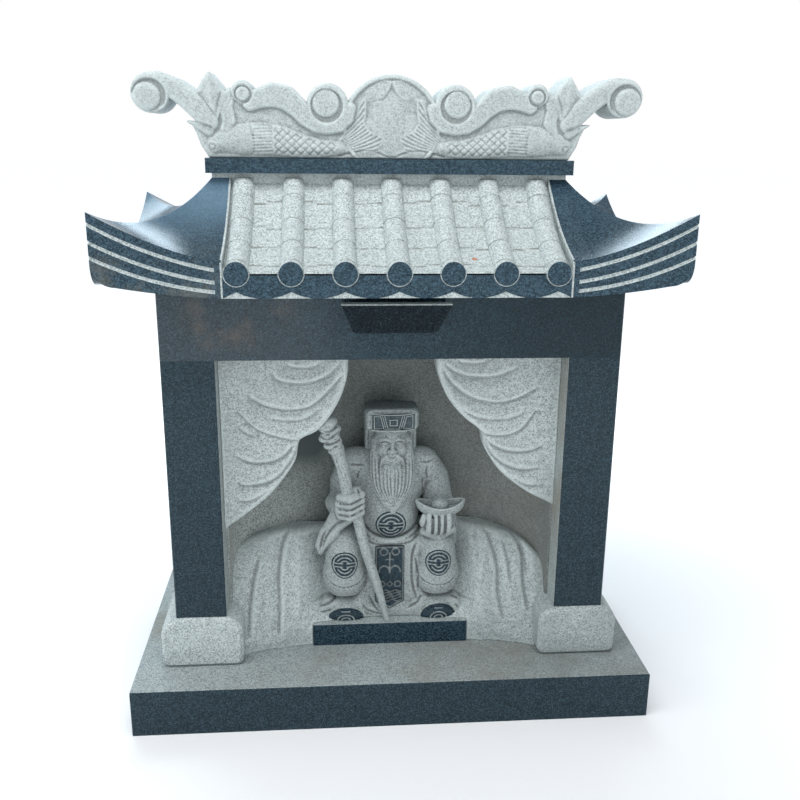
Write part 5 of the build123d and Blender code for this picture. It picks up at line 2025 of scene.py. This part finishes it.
def swept(path, outward, section, closed=False):
    """A closed bar along a path of points; the section is given as (across, outward) distances."""
    path, outward = np.asarray(path, float), np.broadcast_to(np.asarray(outward, float), np.shape(path))
    ahead = np.roll(path, -1, 0) - np.roll(path, 1, 0)
    if not closed:
        ahead[0], ahead[-1] = path[1] - path[0], path[-1] - path[-2]
    across = np.cross(outward, ahead)
    across /= np.linalg.norm(across, axis=1)[:, None]
    rings = np.stack([path + a * across + o * outward for a, o in section], 1)
    n, k = rings.shape[:2]
    index = np.arange(n * k).reshape(n, k)
    if closed:
        index = np.vstack([index, index[:1]])
    right = np.roll(index, -1, 1)
    quads = np.stack([index[:-1], right[:-1], right[1:], index[1:]], -1).reshape(-1, 4).tolist()
    caps = [] if closed else [tuple(index[0, ::-1]), tuple(index[-1])]
    return rings.reshape(-1, 3), quads + caps


def arc_through(a, b, c, count):
    """Points on the circle through three points of a plane."""
    (ax, ay), (bx, by), (cx, cy) = a, b, c
    d = 2 * (ax * (by - cy) + bx * (cy - ay) + cx * (ay - by))
    ux = ((ax**2 + ay**2) * (by - cy) + (bx**2 + by**2) * (cy - ay) + (cx**2 + cy**2) * (ay - by)) / d
    uy = ((ax**2 + ay**2) * (cx - bx) + (bx**2 + by**2) * (ax - cx) + (cx**2 + cy**2) * (bx - ax)) / d
    turns = np.unwrap([math.atan2(y - uy, x - ux) for x, y in (a, b, c)])
    t = np.linspace(turns[0], turns[2], count)
    radius = math.hypot(ax - ux, ay - uy)
    return np.stack([ux + radius * np.cos(t), uy + radius * np.sin(t)], -1)


# %% Strips in the fascia grooves
WING_END = float(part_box("right_roof_wing")[1][0])
WING_SPAN = WING_END - FIELD_HALF
BAND_FOOT = float(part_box("right_roof_wing")[0][2])
BAND_TOP = BAND_FOOT + 0.049
BAND_RISE = 0.063
# for each groove, how far it lies under the band's top at the tiles, and how much further at the tip
GROOVE_DROPS = ((0.012, 0.003), (0.028, 0.010), (0.040, 0.018))
GROOVE_SECTION = [(-0.00245, -0.0026), (-0.00245, -0.0002), (-0.0014, -0.0010), (0.0, -0.0013)]
GROOVE_SECTION += [(0.0014, -0.0010), (0.00245, -0.0002), (0.00245, -0.0026)]


def groove_middle(reach, drop, fan):
    """Height of a groove at a share of the way from the tiles to the tip."""
    return BAND_TOP + BAND_RISE * max(0.0, reach) ** 1.5 - (drop + fan * reach)


def groove_strips():
    """Three strips on each face of both ends of the roof."""
    solids = []
    for drop, fan in GROOVE_DROPS:
        stops = [(r * WING_SPAN, groove_middle(r, drop, fan)) for r in (0.010 / WING_SPAN, 0.55, 1.0)]
        rise_line = arc_through(*stops, 26)
        ends = -EAVE_Y - WING_SPAN
        for side in (-1, 1):
            for front in (-1, 1):
                path = [(side * (FIELD_HALF + u), front * -EAVE_Y, z) for u, z in rise_line]
                path = path if side * front < 0 else path[::-1]
                solids.append(swept(path, (0, front, 0), GROOVE_SECTION))
            half = [(side * WING_END, ends + u, z) for u, z in rise_line]
            path = [(x, -y, z) for x, y, z in half[::-1]] + half
            path = path if side > 0 else path[::-1]
            solids.append(swept(path, (side, 0, 0), GROOVE_SECTION))
    reach = (WING_END - 0.0001, 1.0, 1.0)
    solids = [(np.clip(p, np.negative(reach), reach), f) for p, f in solids]
    solid_piece("eave_groove_strips", solids, grooved_granite)


groove_strips()


# %% Rings round the tile ends, drip recesses and borders
TILE_RING = RIB_RADIUS + 0.0011
RING_TURN = np.linspace(math.radians(158), math.radians(382), 40)
BEAD = [(-0.0008, -0.0004), (-0.0006, 0.0006), (0.0006, 0.0006), (0.0008, -0.0004)]
DRIP = [(-0.0300, 0.0), (-0.0108, 0.0040), (-0.004, 0.0068), (0.0, 0.0086), (0.004, 0.0068)]
DRIP += [(0.0108, 0.0040), (0.0300, 0.0)]
BORDER = [(-0.0016, -0.003), (-0.0013, 0.0007), (0.0013, 0.0007), (0.0016, -0.003)]
FASCIA_BORDER = [(-0.0011, -0.001), (-0.0009, 0.0004), (0.0009, 0.0004), (0.0011, -0.001)]


def tile_ring(x):
    """A bead round one tile end."""
    across, height = TILE_RING * np.cos(RING_TURN), SLOPE_FOOT.z + TILE_RING * np.sin(RING_TURN)
    return swept([(x + a, EAVE_Y, h) for a, h in zip(across, height)], (0, -1, 0), BEAD)


def drip_recess(x):
    """A pale plate with a pointed top, under one tile end."""
    lean = [(max(-FIELD_HALF, min(FIELD_HALF, x + u)), BAND_FOOT + 0.0001 + h) for u, h in DRIP]
    k = len(lean)
    points = [(u, EAVE_Y + y, h) for y in (0.0008, 0.0030) for u, h in lean]
    rim = [(i, i + k, (i + 1) % k + k, (i + 1) % k) for i in range(k)]
    return np.array(points), [tuple(range(k)), tuple(range(2 * k - 1, k - 1, -1)), *rim]


def tile_border(side):
    """A pale line between the tiles and one polished end of the roof, up the slope and down the fascia."""
    x = side * (FIELD_HALF + 0.0016)
    middle = ((EAVE_Y - RIDGE_HALF) / 2, (BAND_TOP + RIDGE_FOOT) / 2 - SLOPE_SAG)
    edge = arc_through((EAVE_Y, BAND_TOP), middle, (-RIDGE_HALF, RIDGE_FOOT), 40)
    rising = np.gradient(edge[:, 1]) / np.gradient(edge[:, 0])
    normal = np.stack([0 * rising, -rising, 1 + 0 * rising], -1)
    normal /= np.linalg.norm(normal, axis=1)[:, None]
    path = np.stack([0 * rising + x, edge[:, 0], edge[:, 1]], -1)
    low, high = BAND_FOOT + 0.0002, BAND_TOP - 0.001
    down = [(x, EAVE_Y, low + (high - low) * i / 3) for i in range(4)]
    return [swept(path[1:], normal[1:], BORDER), swept(down, (0, -1, 0), FASCIA_BORDER)]


def eave_trim():
    """All the pale lines round the tiles, in front and behind."""
    solids = []
    for n in range(RIB_COUNT):
        x = (n - (RIB_COUNT - 1) / 2) * RIB_PITCH
        solids += [tile_ring(x), drip_recess(x)]
    for side in (-1, 1):
        solids += tile_border(side)
    solids += [turned_behind(s) for s in solids]
    solid_piece("eave_trim", solids, grooved_granite)


eave_trim()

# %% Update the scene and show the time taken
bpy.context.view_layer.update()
print("seconds:", round(time.time() - started, 1))
